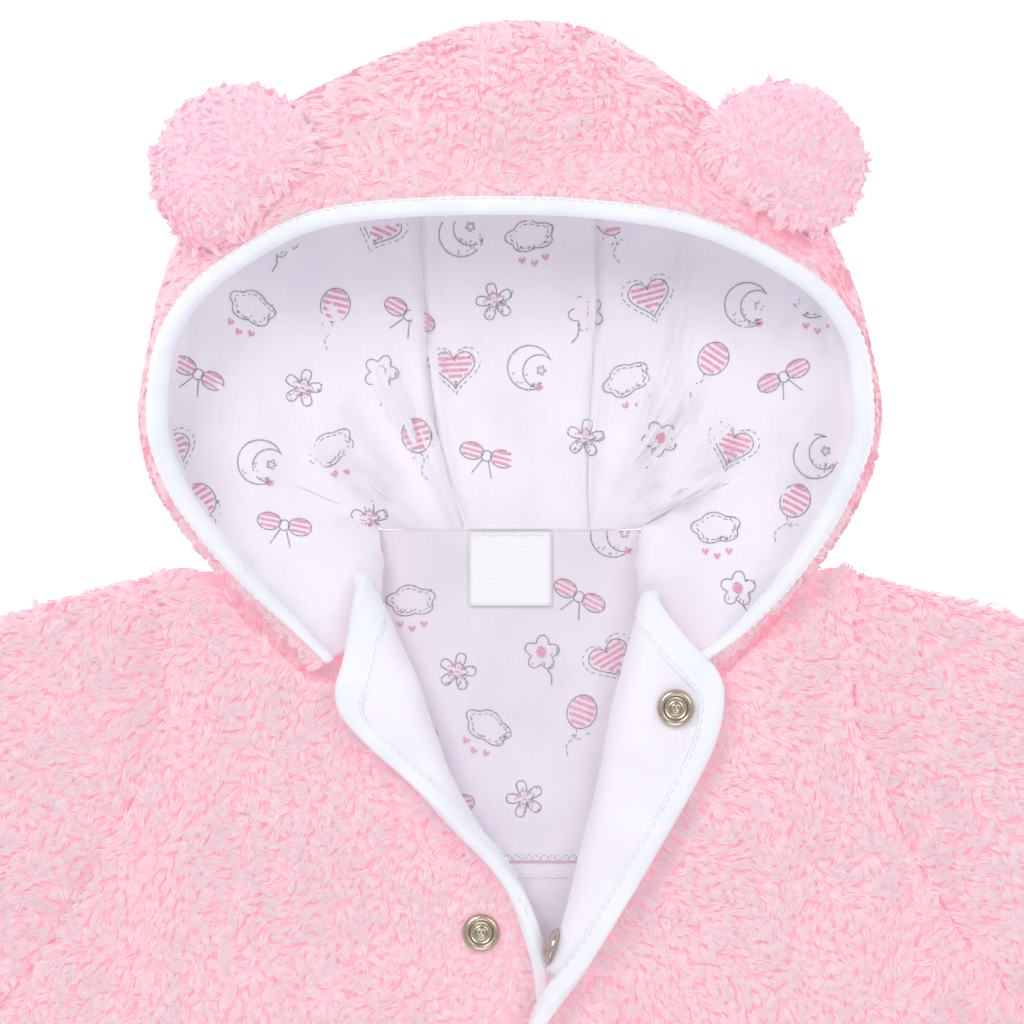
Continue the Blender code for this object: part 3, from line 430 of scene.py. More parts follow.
# %% The hood's layers
HOOD = (
    ("neck_x", "neck_y", "neck_z", "out_x", "out_y", "out_z", "rim_x", "rim_y", "rim_z", "thick"),
    (-47.0, -36.0, 5.9, -60.5, -42.2, 5.9, -53.4, -40.2, 12.6, 0.35),
    (-46.0, -28.0, 5.9, -74.4, -27.9, 5.9, -66.0, -27.6, 17.0, 0.6),
    (-45.5, -20.0, 5.9, -88.5, -14.4, 5.9, -77.7, -15.9, 23.0, 0.85),
    (-45.0, -12.0, 5.9, -101.4, 2.1, 1.5, -89.4, -2.7, 29.0, 1.0),
    (-44.5, -4.5, 4.6, -109.2, 16.5, 0.0, -99.6, 13.0, 33.0, 1.0),
    (-41.0, 0.5, 0.0, -112.2, 35.1, 0.0, -105.0, 32.1, 37.0, 1.0),
    (-34.0, 0.6, 0.0, -108.6, 58.2, 0.0, -104.1, 49.2, 39.0, 1.0),
    (-28.0, 0.6, 0.0, -102.5, 82.0, 0.0, -95.1, 66.9, 41.0, 1.0),
    (-22.0, 0.6, 0.0, -87.0, 109.0, 0.0, -78.0, 80.1, 45.0, 1.0),
    (-16.0, 0.6, 0.0, -63.9, 129.6, 0.0, -55.8, 90.3, 50.0, 1.0),
    (-8.0, 0.6, 0.0, -21.9, 148.5, 0.0, -23.7, 93.6, 54.0, 1.0),
    (0.0, 0.6, 0.0, 1.5, 153.0, 0.0, 0.0, 93.9, 55.0, 1.0),
    (8.0, 0.6, 0.0, 27.0, 149.4, 0.0, 26.4, 92.7, 54.0, 1.0),
    (16.0, 0.6, 0.0, 58.8, 129.0, 0.0, 54.0, 88.5, 50.0, 1.0),
    (22.0, 0.6, 0.0, 84.6, 107.1, 0.0, 78.0, 78.6, 45.0, 1.0),
    (28.0, 0.6, 0.0, 100.5, 82.2, 0.0, 96.3, 65.1, 41.0, 1.0),
    (34.0, 0.6, 0.0, 108.6, 56.7, 0.0, 105.0, 46.2, 39.0, 1.0),
    (41.0, 0.5, 0.0, 112.2, 35.1, 0.0, 105.3, 29.7, 37.0, 1.0),
    (44.5, -4.5, 4.6, 110.1, 18.3, 0.0, 100.8, 15.3, 33.0, 1.0),
    (45.0, -12.0, 5.9, 102.3, 1.5, 1.5, 92.4, -1.2, 29.0, 1.0),
    (46.0, -20.0, 5.9, 90.6, -15.3, 5.9, 81.0, -17.4, 23.0, 0.85),
    (47.0, -28.0, 5.9, 76.5, -29.7, 5.9, 69.0, -30.3, 17.0, 0.6),
    (48.0, -36.0, 5.9, 63.5, -42.2, 5.9, 57.0, -39.4, 12.6, 0.35),
)
HOOD_STATIONS = 145
HOOD_PANEL_SEAMS = (54, 90)
LINING_PANEL_SEAMS = (60, 84)
FLOOR_STEPS = 9
WALL_STEPS = 9
CROWN_STEPS = 12
HOOD_PLUSH = 4.5
LINING_GAP = 0.6  # from the hood's plush to its lining
HOOD_FOOT = 14.0  # how far in from its outline the hood leaves the table
WIDEST_AT = 0.42  # where it is widest, as a share of its height
RIM_TURN = math.radians(75)  # how far the crown has turned towards level at the rim
RIM_TAPE_LEG = 4.0
LINING_FOLDS = (
    ("station", "to_station", "from_share", "to_share", "reach", "height"),
    (4.6, 7.4, 0.10, 0.62, 0.8, 3.0),
    (6.4, 9.6, 0.06, 0.55, 0.6, 2.6),
    (17.2, 14.6, 0.08, 0.62, 0.8, 3.6),
    (15.4, 13.4, 0.06, 0.5, 0.6, 2.6),
)


def hood_profile(station):
    """The points of the hood's outer side at one station, from the neck seam over the table to the rim."""
    neck = np.array([station["neck_x"], station["neck_y"], station["neck_z"]])
    out = np.array([station["out_x"], station["out_y"], station["out_z"]])
    rim = np.array([station["rim_x"], station["rim_y"], station["rim_z"]])
    run = np.linalg.norm((out - neck)[:2])
    foot = out + (neck - out) * min(HOOD_FOOT, 0.5 * run) / run
    foot[2] = out[2]
    widest = out.copy()
    widest[2] += WIDEST_AT * (rim[2] - out[2])
    points = []
    for k in range(FLOOR_STEPS):
        share = k / FLOOR_STEPS
        place = neck + (foot - neck) * share
        place[2] = neck[2] + (out[2] - neck[2]) * ramp(share, 0.0, 0.9)
        points.append(place)
    for k in range(WALL_STEPS):
        turn = math.pi / 2 * k / WALL_STEPS
        place = foot + (out - foot) * math.sin(turn)
        place[2] = foot[2] + (widest[2] - foot[2]) * (1 - math.cos(turn))
        points.append(place)
    turn = np.linspace(0, RIM_TURN, 41)[:, None]
    crown = widest + (rim - widest) * (1 - np.cos(turn)) / (1 - math.cos(RIM_TURN))
    crown[:, 2:] = widest[2] + (rim[2] - widest[2]) * np.sin(turn) / math.sin(RIM_TURN)
    run = np.concatenate([[0.0], np.cumsum(np.linalg.norm(np.diff(crown, axis=0), axis=1))])
    taped = (RIM_TAPE_LEG + 0.8) * max(station["thick"], 0.5)
    stops = np.append(np.linspace(0, run[-1] - taped, CROWN_STEPS), run[-1])
    return np.concatenate([points, np.stack([np.interp(stops, run, crown[:, k]) for k in range(3)], axis=1)])


def inwards(grid):
    """The direction from each point of the hood's outer side towards its inside."""
    normal = np.cross(np.gradient(grid, axis=0), np.gradient(grid, axis=1))
    return normal / np.linalg.norm(normal, axis=2)[..., None]


def fold_heights(shape):
    """How far the lining's folds stand up at each column and row of the hood."""
    folds = columns(LINING_FOLDS)
    at = np.linspace(0, len(HOOD) - 2, shape[0])[:, None]
    share = np.linspace(0, 1, shape[1])[None, :]
    height = np.zeros(shape)
    for k in range(len(folds["height"])):
        along = (share - folds["from_share"][k]) / (folds["to_share"][k] - folds["from_share"][k])
        middle = folds["station"][k] + (folds["to_station"][k] - folds["station"][k]) * along
        side = np.exp(-(((at - middle) / folds["reach"][k]) ** 2))
        height += folds["height"][k] * side * np.sin(math.pi * np.clip(along, 0, 1))
    return height


def hood_layers():
    """The hood's grids, by the names of its layers, with a column for each station."""
    table = columns(HOOD)
    knots = np.arange(len(HOOD) - 1, dtype=float)
    at = np.linspace(0, knots[-1], HOOD_STATIONS)
    stations = {name: through(knots, values, at) for name, values in table.items()}
    for name in ("neck_z", "out_z"):
        stations[name] = np.interp(at, knots, table[name])
    outside = np.array([hood_profile({n: v[k] for n, v in stations.items()}) for k in range(HOOD_STATIONS)])
    inward = inwards(outside)
    middle = inward[HOOD_STATIONS // 2, FLOOR_STEPS // 2]
    if middle[2] < 0:
        inward = -inward
    scale = stations["thick"][:, None]
    steps = np.linalg.norm(np.diff(outside, axis=1), axis=2)
    to_rim = np.concatenate([np.cumsum(steps[:, ::-1], axis=1)[:, ::-1], np.zeros((HOOD_STATIONS, 1))], axis=1)
    thick = scale * (PLUSH_EDGE + (HOOD_PLUSH - PLUSH_EDGE) * ramp(to_rim, RIM_TAPE_LEG + 0.7, RIM_TAPE_LEG + 9.0))
    lining = np.maximum(LINING * scale, 0.6)
    inside = outside + inward * thick[..., None]
    lining_back = outside + inward * (thick + LINING_GAP)[..., None]
    folds = fold_heights(thick.shape) * scale
    lining_face = outside + inward * (thick + LINING_GAP + lining + folds)[..., None]
    return {
        "outside": outside,
        "inside": inside,
        "lining_back": lining_back,
        "lining_face": lining_face,
        "inward": inward,
        "scale": scale,
        "thick": thick,
        "lining": lining,
    }


def panel_slices(seams):
    """The stretches of columns of three panels, from the seams between them."""
    return {"left": (0, seams[0]), "centre": seams, "right": (seams[1], HOOD_STATIONS - 1)}


def parted(grid, first, last):
    """The columns of one panel, with its seams moved in by half the gap between panels."""
    piece = grid[first : last + 1].copy()
    for end, beside in ((0, 1), (-1, -2)):
        column = first if end == 0 else last
        if column in (0, HOOD_STATIONS - 1):
            continue
        way = grid[first + beside if end == 0 else last + 1 + beside] - piece[end]
        size = np.linalg.norm(way, axis=1)[:, None]
        piece[end] = piece[end] + way * np.minimum(0.5, GAP / np.maximum(size, 1e-6))
    return piece


hood = hood_layers()
print("the hood's grid is", hood["outside"].shape[:2])

# %% [markdown]
# Every piece below is a mesh made from rows of points. These helpers lay faces over a grid, close a sheet round its
# edges, and add steps between a grid's points on smooth curves.

# %% Meshes from rows of points


def refine(grid, times):
    """The grid with this many steps for each one, on smooth curves that don't overshoot."""
    for axis in (0, 1):
        grid = np.moveaxis(grid, axis, 0)
        rise = np.diff(grid, axis=0)
        least = np.minimum(np.abs(rise[1:]), np.abs(rise[:-1]))
        middle = (rise[1:] + rise[:-1]) / 2
        middle = np.where(rise[1:] * rise[:-1] > 0, np.sign(middle) * np.minimum(np.abs(middle), 3 * least), 0.0)
        slope = np.concatenate([rise[:1], middle, rise[-1:]])
        at = np.linspace(0, len(rise), len(rise) * times + 1)
        i = np.clip(at.astype(int), 0, len(rise) - 1)
        t = (at - i).reshape((-1,) + (1,) * (grid.ndim - 1))
        grid = (
            (2 * t**3 - 3 * t**2 + 1) * grid[i]
            + (t**3 - 2 * t**2 + t) * slope[i]
            + (3 * t**2 - 2 * t**3) * grid[i + 1]
            + (t**3 - t**2) * slope[i + 1]
        )
        grid = np.moveaxis(grid, 0, axis)
    return grid


def grid_faces(rows, across, first=0, flip=False):
    """Four-sided faces over a grid of points."""
    index = first + np.arange(rows * across).reshape(rows, across)
    quads = np.stack([index[:-1, :-1], index[:-1, 1:], index[1:, 1:], index[1:, :-1]], axis=-1).reshape(-1, 4)
    return quads[:, ::-1] if flip else quads


def make_piece(name, points, faces, material, smooth=True):
    """A piece of the coat, from points in the garment's millimetres."""
    points = (np.asarray(points, float) + GARMENT_TO_TABLE) * MM
    mesh = bpy.data.meshes.new(name)
    mesh.from_pydata(points.tolist(), [], [list(map(int, f)) for f in faces])
    mesh.materials.append(material)
    if smooth:
        mesh.shade_smooth()
    made = bpy.data.objects.new(name, mesh)
    bpy.context.scene.collection.objects.link(made)
    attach(made, "root")
    return made


def turned_out(points, faces):
    """The faces, wound so that a closed mesh's normals point outwards."""
    points = np.asarray(points, float)
    corners = np.array([f[:3] for f in faces])
    a, b, c = (points[corners[:, k]] for k in range(3))
    volume = np.einsum("ij,ij->i", a - points[0], np.cross(b - points[0], c - points[0])).sum()
    return [list(f)[::-1] for f in faces] if volume < 0 else [list(f) for f in faces]


def closed_sheet(name, one_side, other_side, material):
    """A sheet of cloth between two grids of points of the same shape, closed round its edges."""
    rows, across = one_side.shape[:2]
    index = np.arange(rows * across).reshape(rows, across)
    rim = np.concatenate([index[0], index[1:, -1], index[-1, -2::-1], index[-2:0:-1, 0]])
    after = np.roll(rim, -1)
    sides = np.stack([after, rim, rim + rows * across, after + rows * across], axis=-1)
    faces = np.concatenate([grid_faces(rows, across), grid_faces(rows, across, rows * across, True), sides])
    points = np.concatenate([one_side.reshape(-1, 3), other_side.reshape(-1, 3)])
    return make_piece(name, points, turned_out(points, faces.tolist()), material)


def swept_tape(name, sections, material):
    """A tape along a row of closed sections, with one subdivision to round its folds."""
    count, around = sections.shape[:2]
    index = np.arange(count * around).reshape(count, around)
    after = np.roll(index, -1, axis=1)
    faces = np.stack([index[:-1], after[:-1], after[1:], index[1:]], axis=-1).reshape(-1, 4).tolist()
    faces += [index[0][::-1].tolist(), index[-1].tolist()]
    made = make_piece(name, sections.reshape(-1, 3), turned_out(sections.reshape(-1, 3), faces), material)
    rounding = made.modifiers.new("rounded folds", "SUBSURF")
    rounding.levels = rounding.render_levels = 1
    return made


def surface_normals(points, triangles):
    """A unit normal for each point, from the triangles round it."""
    a, b, c = (points[triangles[:, k]] for k in range(3))
    face = np.cross(b - a, c - a)
    normals = np.zeros_like(points)
    for k in range(3):
        np.add.at(normals, triangles[:, k], face)
    return normals / np.maximum(np.linalg.norm(normals, axis=1), 1e-9)[:, None]


def grid_triangles(rows, across):
    quads = grid_faces(rows, across)
    return np.concatenate([quads[:, [0, 1, 2]], quads[:, [0, 2, 3]]])


# %% [markdown]
# Long-pile plush is a knitted backing with thousands of fine polyester fibres brushed into soft locks. The light
# catches the tips, which look pale, and the gaps between locks lie in shade and show a deeper pink. So each lock here
# is a bundle of narrow blades whose tips lean together, and the shader runs from the root's deeper pink, painted
# shade, to the tip's pale pink, painted light.

# %% Plush materials
# The pile's colour from root to tip: the deeper root is painted shade, the pale tip painted light.
SHADED_ROOT_PINK = "ECBFCA"
MID_PINK = "EFD6DC"
LIT_TIP_PINK = "F1E2E6"


def plush_material(name, root, middle, tip, warm):
    """Brushed polyester pile with no shine: deeper roots painted as shade, pale soft tips as light, a faint painted
    glow.
    """
    material, tree = new_material(name)
    along = add_node(tree, "ShaderNodeAttribute", attribute_name="along")
    tone = add_node(tree, "ShaderNodeAttribute", attribute_name="tone")
    ramp_node = add_node(tree, "ShaderNodeValToRGB", [("Fac", along.outputs["Fac"])])
    ramp_node.color_ramp.elements[0].color = linear(root)
    ramp_node.color_ramp.elements[1].color = linear(tip)
    ramp_node.color_ramp.elements.new(0.45).color = linear(middle)
    tint = add_node(tree, "ShaderNodeMixRGB", [("Fac", tone.outputs["Fac"]), ("Color1", ramp_node.outputs[0])])
    tint.inputs["Color2"].default_value = linear(warm)
    surface = add_node(
        tree, "ShaderNodeBsdfPrincipled", [("Base Color", tint.outputs[0])], Roughness=0.9, Sheen_Weight=0.25
    )
    surface.inputs["Specular IOR Level"].default_value = 0.15
    surface.inputs["Sheen Roughness"].default_value = 0.6
    # A painted glow, pinker at the roots, lifts the shade between locks, so the gaps are pink and never black.
    painted_glow = add_node(tree, "ShaderNodeValToRGB", [("Fac", along.outputs["Fac"])])
    painted_glow.color_ramp.elements[0].color = linear("E6ACBA")
    painted_glow.color_ramp.elements[1].color = linear("735F66")
    tree.links.new(painted_glow.outputs[0], surface.inputs["Emission Color"])
    surface.inputs["Emission Strength"].default_value = 0.34
    add_node(tree, "ShaderNodeOutputMaterial", [("Surface", surface.outputs[0])])
    return material


def backing_material(name, colour, dark):
    """The knitted backing under the pile, seen only as a soft, darker pink between the locks."""
    material, tree = new_material(name)
    place = add_node(tree, "ShaderNodeTexCoord")
    fuzz = add_node(tree, "ShaderNodeTexNoise", [("Vector", place.outputs["Object"])], Scale=900.0, Detail=3.0)
    # The knit's low spots take the darker pink: painted shade in the hollows that the bump below makes.
    colours = add_node(tree, "ShaderNodeValToRGB", [("Fac", fuzz.outputs["Fac"])])
    colours.color_ramp.elements[0].color = linear(dark)
    colours.color_ramp.elements[0].position = 0.35
    colours.color_ramp.elements[1].color = linear(colour)
    colours.color_ramp.elements[1].position = 0.65
    lumps = add_node(tree, "ShaderNodeBump", [("Height", fuzz.outputs["Fac"])], Strength=0.6, Distance=0.0008)
    links = [("Base Color", colours.outputs[0]), ("Normal", lumps.outputs[0])]
    surface = add_node(tree, "ShaderNodeBsdfPrincipled", links, Roughness=0.95, Sheen_Weight=0.3)
    # The backing glows faintly pink, a painted light that keeps the gaps between locks from going dark.
    surface.inputs["Emission Color"].default_value = linear("E6ACBA")
    surface.inputs["Emission Strength"].default_value = 0.34
    add_node(tree, "ShaderNodeOutputMaterial", [("Surface", surface.outputs[0])])
    return material


# Each pile below runs from a root painted in shade to a tip painted in light.
pink_pile = plush_material("brushed polyester plush pile, pink", SHADED_ROOT_PINK, MID_PINK, LIT_TIP_PINK, "F3E9EC")
ear_pile = plush_material("brushed polyester plush pile, lilac pink", "EBB9CA", "F0D2DE", "F3E3EB", "F3E8EF")
pink_backing = backing_material("knitted plush backing, pink", "F0C4CE", "EBB4C1")
ear_backing = backing_material("knitted plush backing, lilac pink", "F0C6D4", "EBB6C8")
print("plush materials:", pink_pile.name, "and", ear_pile.name)

# %% [markdown]
# The pile is grown as a maker would brush it: locks are spread over the backing, each leans along a lay that swirls
# slowly over the panel, and its fibres share a tip. In the camera's frame the locks stand closer and finer than
# on the rest, so that the whole coat stays light.

# %% Growing the pile
LOCK_RADIUS = 1.45
MOST_TRIANGLES = 190000
VIEW_CENTRE = np.array([0.6, 5.1])  # of the camera's frame, in the garment's millimetres
VIEW_HALF = 158.0


def in_view(places):
    """1 inside the camera's frame, and falling to 0 just outside it."""
    beyond = np.abs(places[:, :2] - VIEW_CENTRE).max(axis=1) - VIEW_HALF
    return 1 - ramp(beyond, 0.0, 10.0)


NOISE_SEED = 7
noise.seed_set(NOISE_SEED)  # unseeded, this noise starts from the clock, and every run is another coat


def noise_field(places, size, seed):
    """A smooth random vector at each place, which changes over this many millimetres."""
    shift = Vector((seed * 17.3, seed * 5.1, seed * 9.7))
    return np.array([noise.noise_vector(Vector(p) / size + shift) for p in places.tolist()])


def scatter(points, triangles, wanted, rng):
    """Places spread evenly over a surface: which triangle each is in, and its weights for that one's corners."""
    a, b, c = (points[triangles[:, k]] for k in range(3))
    area = np.linalg.norm(np.cross(b - a, c - a), axis=1) / 2
    total = np.cumsum(area * wanted)
    count = int(total[-1])
    picked = np.searchsorted(total, (np.arange(count) + rng.uniform(0, 1, count)) * total[-1] / count)
    picked = np.minimum(picked, len(triangles) - 1)
    u, v = np.sqrt(rng.uniform(0, 1, count)), rng.uniform(0, 1, count)
    return picked, np.stack([1 - u, u * (1 - v), u * v], axis=1)


def blade_mesh(name, points, tone, darkening, material):
    """A mesh of blades of five points each: two at the root, two half way up and one at the tip."""
    count = len(points)
    base = (np.arange(count) * 5)[:, None, None]
    pattern = np.array([[0, 1, 3], [0, 3, 2], [2, 3, 4]])[None]
    triangles = (base + pattern).reshape(-1, 3)
    flat = ((points.reshape(-1, 3) + GARMENT_TO_TABLE) * MM).astype(np.float32)
    mesh = bpy.data.meshes.new(name)
    mesh.vertices.add(len(flat))
    mesh.vertices.foreach_set("co", flat.ravel())
    mesh.loops.add(triangles.size)
    mesh.loops.foreach_set("vertex_index", triangles.ravel().astype(np.int32))
    mesh.polygons.add(len(triangles))
    mesh.polygons.foreach_set("loop_start", np.arange(0, triangles.size, 3, dtype=np.int32))
    mesh.update(calc_edges=True)
    # The darkening pulls a blade's colour towards the root's deeper pink: painted shade, and random broad patches.
    along = (np.array([0.0, 0.0, 0.55, 0.55, 1.0]) * (1 - 0.55 * darkening[:, None])).ravel().astype(np.float32)
    mesh.attributes.new("along", "FLOAT", "POINT").data.foreach_set("value", along)
    mesh.attributes.new("tone", "FLOAT", "POINT").data.foreach_set("value", np.repeat(tone, 5).astype(np.float32))
    mesh.materials.append(material)
    mesh.shade_smooth()
    made = bpy.data.objects.new(name, mesh)
    bpy.context.scene.collection.objects.link(made)
    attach(made, "root")
    return made


def grow_pile(
    name, skin, triangles, tall, base_lay, seed, material, keep=None, painted_shade=None, long=1.0, swirl=1.0
):
    """Locks all over a skin. tall is how far the pile stands at each point, base_lay the way it is brushed,
    painted_shade how much deeper pink is painted on its locks as shade in valleys, seams and joins, and long the locks'
    length against the body's."""
    rng = np.random.default_rng(seed)
    normals = surface_normals(skin, triangles)
    centres = skin[triangles].mean(axis=1)
    shown = in_view(centres)
    wanted = (0.075 + 0.165 * shown) / (long if long < 1 else 1.0)
    if keep is not None:
        wanted = wanted * keep(centres, normals[triangles].mean(axis=1))
    picked, weights = scatter(skin, triangles, wanted, rng)
    corners = triangles[picked]
    places = np.einsum("ij,ijk->ik", weights, skin[corners])
    normal = np.einsum("ij,ijk->ik", weights, normals[corners])
    normal /= np.linalg.norm(normal, axis=1)[:, None]
    stand = np.einsum("ij,ij->i", weights, tall[corners])
    # Random broad patches of deeper pink, plus the painted shade of valleys, seams and joins.
    pile_darkening = 0.8 * np.clip(noise_field(places, 26.0, seed + 7)[:, 0] + 0.1, 0.0, 0.5)
    if painted_shade is not None:
        pile_darkening = np.clip(pile_darkening + np.einsum("ij,ij->i", weights, painted_shade[corners]), 0.0, 1.0)
    near = in_view(places)
    lay = base_lay(places) + swirl * (1.5 * noise_field(places, 30.0, seed) + 1.7 * noise_field(places, 8.0, seed + 3))
    lay += 0.35 * rng.normal(0, 1, lay.shape)
    side = np.cross(normal, lay)
    side /= np.maximum(np.linalg.norm(side, axis=1), 1e-6)[:, None]
    lay = np.cross(side, normal)
    length = long * (2.7 + 1.9 * rng.uniform(0, 1, len(places))) * (0.55 + 0.45 * stand / 2.5) * (1.3 - 0.3 * near)
    tone = rng.uniform(0, 1, len(places)) * 0.45
    blocks = []
    for group, blades, width in ((near > 0.5, 13, 0.5), (near <= 0.5, 6, 1.8)):
        count = int(group.sum())
        if not count:
            continue
        shape = (count, blades, 1)
        p, n, l, s = (v[group][:, None, :] for v in (places, normal, lay, side))
        tall_here, long_here = stand[group][:, None, None], length[group][:, None, None]
        turn = rng.uniform(0, 2 * math.pi, shape)
        reach = LOCK_RADIUS * long * (1.0 if blades > 12 else 1.9) * np.sqrt(rng.uniform(0, 1, shape))
        root = p + reach * (np.cos(turn) * l + np.sin(turn) * s) - 0.3 * n
        own = root + l * long_here * rng.uniform(0.7, 1.15, shape) + n * tall_here * rng.uniform(0.68, 1.02, shape)
        own = own + s * long_here * rng.normal(0, 0.14, shape)
        shared = p + 1.1 * long_here * l + tall_here * n
        tip = own + (shared - own) * rng.uniform(0.25, 0.7, shape)
        tip[..., 2] = np.maximum(tip[..., 2], 0.15)
        middle = root + (tip - root) * 0.48 + n * tall_here * 0.3
        across = np.cross(np.broadcast_to(n, tip.shape), tip - root)
        across /= np.maximum(np.linalg.norm(across, axis=2), 1e-6)[..., None]
        across = across * width * rng.uniform(0.65, 1.25, shape) / 2
        points = np.stack([root - across, root + across, middle - 0.85 * across, middle + 0.85 * across, tip], axis=2)
        points[..., 2] = np.maximum(points[..., 2], 0.05)
        tones = np.clip(tone[group][:, None] + rng.uniform(-0.15, 0.25, (count, blades)), 0, 1)
        blocks.append((points.reshape(-1, 5, 3), tones.reshape(-1), np.repeat(pile_darkening[group], blades)))
    points, tones, darkenings = (np.concatenate([b[k] for b in blocks]) for k in range(3))
    parts = int(np.ceil(len(points) * 3 / MOST_TRIANGLES))
    order = np.argsort(-points[:, 0, 1], kind="stable")
    made = []
    for k, chosen in enumerate(np.array_split(order, parts)):
        piece = name + ("" if parts == 1 else f"_{k + 1}")
        made.append(blade_mesh(piece, points[chosen], tones[chosen], darkenings[chosen], material))
    print(name, len(points), "blades in", parts, "piece(s)")
    return made


# %% [markdown]
# The two fronts are one pattern piece each. The backing takes the solid's form a pile's depth below its surface,
# and the pile brings it out again. Where the corner is turned back the pile faces down on the front, so only the
# first part of the roll carries any.

# %% The fronts
PILE_SHARE = 0.5  # of the plush's thickness that stands as loose pile


def near_line(points, line, reach):
    """1 on a line given in plan, falling softly to 0 this far from it."""
    line = np.asarray(line, float)
    best = np.full(len(points), 1e9)
    for a, b in zip(line[:-1], line[1:]):
        t = np.clip(((points[:, :2] - a) @ (b - a)) / ((b - a) @ (b - a)), 0, 1)
        best = np.minimum(best, np.linalg.norm(points[:, :2] - (a + t[:, None] * (b - a)), axis=1))
    return np.exp(-((best / reach) ** 2))


# Soft valleys in the fronts' pile, in plan, whose locks are painted a deeper pink as shade: the two armholes, the
# fold beside the open neck and the hood's base.
VALLEYS = (
    ((104, -16), (103, -28), (103, -59), (119, -90), (127, -105), (123, -124), (123, -140)),
    ((-109, -10), (-109, -36), (-96, -46), (-100, -80), (-112, -120), (-116, -140)),
    ((-42, -66), (-30, -84), (-15, -103)),
    ((-84, -14), (-70, -30), (-54, -44)),
    ((84, -14), (74, -30), (66, -44)),
)
SUNK_VALLEYS = VALLEYS[:3]


def in_valleys(points, lines):
    return np.max([near_line(points, line, 4.5) for line in lines], axis=0)


def brushed_down(places):
    """The body's pile is brushed down and a little outwards."""
    return np.stack([0.5 * np.sign(places[:, 0]) + 0 * places[:, 1], -0.9 + 0 * places[:, 1], 0 * places[:, 2]], axis=1)


def dress_front(front, name):
    along, down = (refine(g, 2) for g in front.grid())
    along[:, 0] += 0.55  # the seam allowance, which closes the armhole's seam
    thick = front.thickness(along, down, down[-1])
    thick = PLUSH_EDGE + (thick - PLUSH_EDGE) * (0.35 + 0.65 * ramp(down - down[-1], 0.0, 8.0))
    under = front.rolled(along, down, 0 * along)
    flat = along > front.roll(down)[0]
    # The valleys, and the sunk ones among them: the sunk ones lower the skin, and both paint a deeper pink on the pile
    # as shade.
    valley, pile_darkening = (in_valleys(under.reshape(-1, 3), lines).reshape(along.shape) * flat for lines in (VALLEYS, SUNK_VALLEYS))
    skin = front.rolled(along, down, (1 - PILE_SHARE) * thick - 1.2 * pile_darkening * (thick > 4.5))
    backing = closed_sheet(f"{name}_backing", under, skin, pink_backing)
    triangles = grid_triangles(*skin.shape[:2])
    flat_skin = skin.reshape(-1, 3)
    if surface_normals(flat_skin, triangles)[: skin.shape[1]][:, 2].mean() < 0:
        triangles = triangles[:, ::-1]
    start, length, angle, _ = front.roll(down)
    turned_by = np.clip((start - along) / (length / angle), 0, angle).reshape(-1)
    shows = 1 - ramp(turned_by, 1.3, 1.9)
    tall = np.maximum(PILE_SHARE * thick, 1.7 * (along > start)).reshape(-1)
    keep_at = shows[triangles].mean(axis=1)
    pile = grow_pile(
        f"{name}_pile", flat_skin, triangles, tall, brushed_down, 11 + front.side, pink_pile,
        keep=lambda centres, normals: keep_at, painted_shade=(0.4 * valley + 0.35 * pile_darkening).reshape(-1),
    )
    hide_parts(name)
    return backing


front_upper = dress_front(upper, "front_right")
front_lower = dress_front(lower, "front_left")

# %% [markdown]
# The hood is three panels of the same plush. On the real coat a line of stitches runs round it near the rim and
# holds the lining, and the pile parts over that line and over the two seams, so those become soft valleys here, with
# a deeper pink painted on their locks as shade.

# %% The hood's plush
STITCH_FROM_RIM = 14.0
HOOD_ROLL = ((-21.0, 118.5), (0.0, 119.5), (20.0, 118.0), (39.0, 114.0))  # a soft roll over the forehead


def brushed_over_hood(places):
    """The hood's pile is brushed from the crown towards the rim, and outwards at the sides."""
    return np.stack([0.008 * places[:, 0], -0.8 + 0 * places[:, 1], 0.1 + 0 * places[:, 2]], axis=1)


def hood_skin():
    """The backing's outer side, the pile's height over it and the painted shade of its valleys, as grids of stations by
    steps.
    """
    outside, inward, thick = hood["outside"], hood["inward"], hood["thick"]
    steps = np.linalg.norm(np.diff(outside, axis=1), axis=2)
    to_rim = np.concatenate([np.cumsum(steps[:, ::-1], axis=1)[:, ::-1], np.zeros((HOOD_STATIONS, 1))], axis=1)
    stitched = np.exp(-(((to_rim - STITCH_FROM_RIM) / 2.4) ** 2))
    columns_at = np.arange(HOOD_STATIONS)[:, None]
    for seam in HOOD_PANEL_SEAMS:
        stitched = np.maximum(stitched, 0.8 * np.exp(-(((columns_at - seam) / 1.1) ** 2)))
    high = outside[..., 2] > 14
    roll = near_line(outside.reshape(-1, 3), HOOD_ROLL, 5.0).reshape(to_rim.shape) * high
    tall = np.maximum(PILE_SHARE * thick * (1 - 0.55 * stitched), 1.7 * hood["scale"])
    tall = np.where(to_rim < RIM_TAPE_LEG * hood["scale"] - 0.8, 0.0, tall)
    skin = outside + inward * (PILE_SHARE * thick + 0.9 * stitched - 1.1 * roll)[..., None]
    return skin, tall, 0.8 * stitched


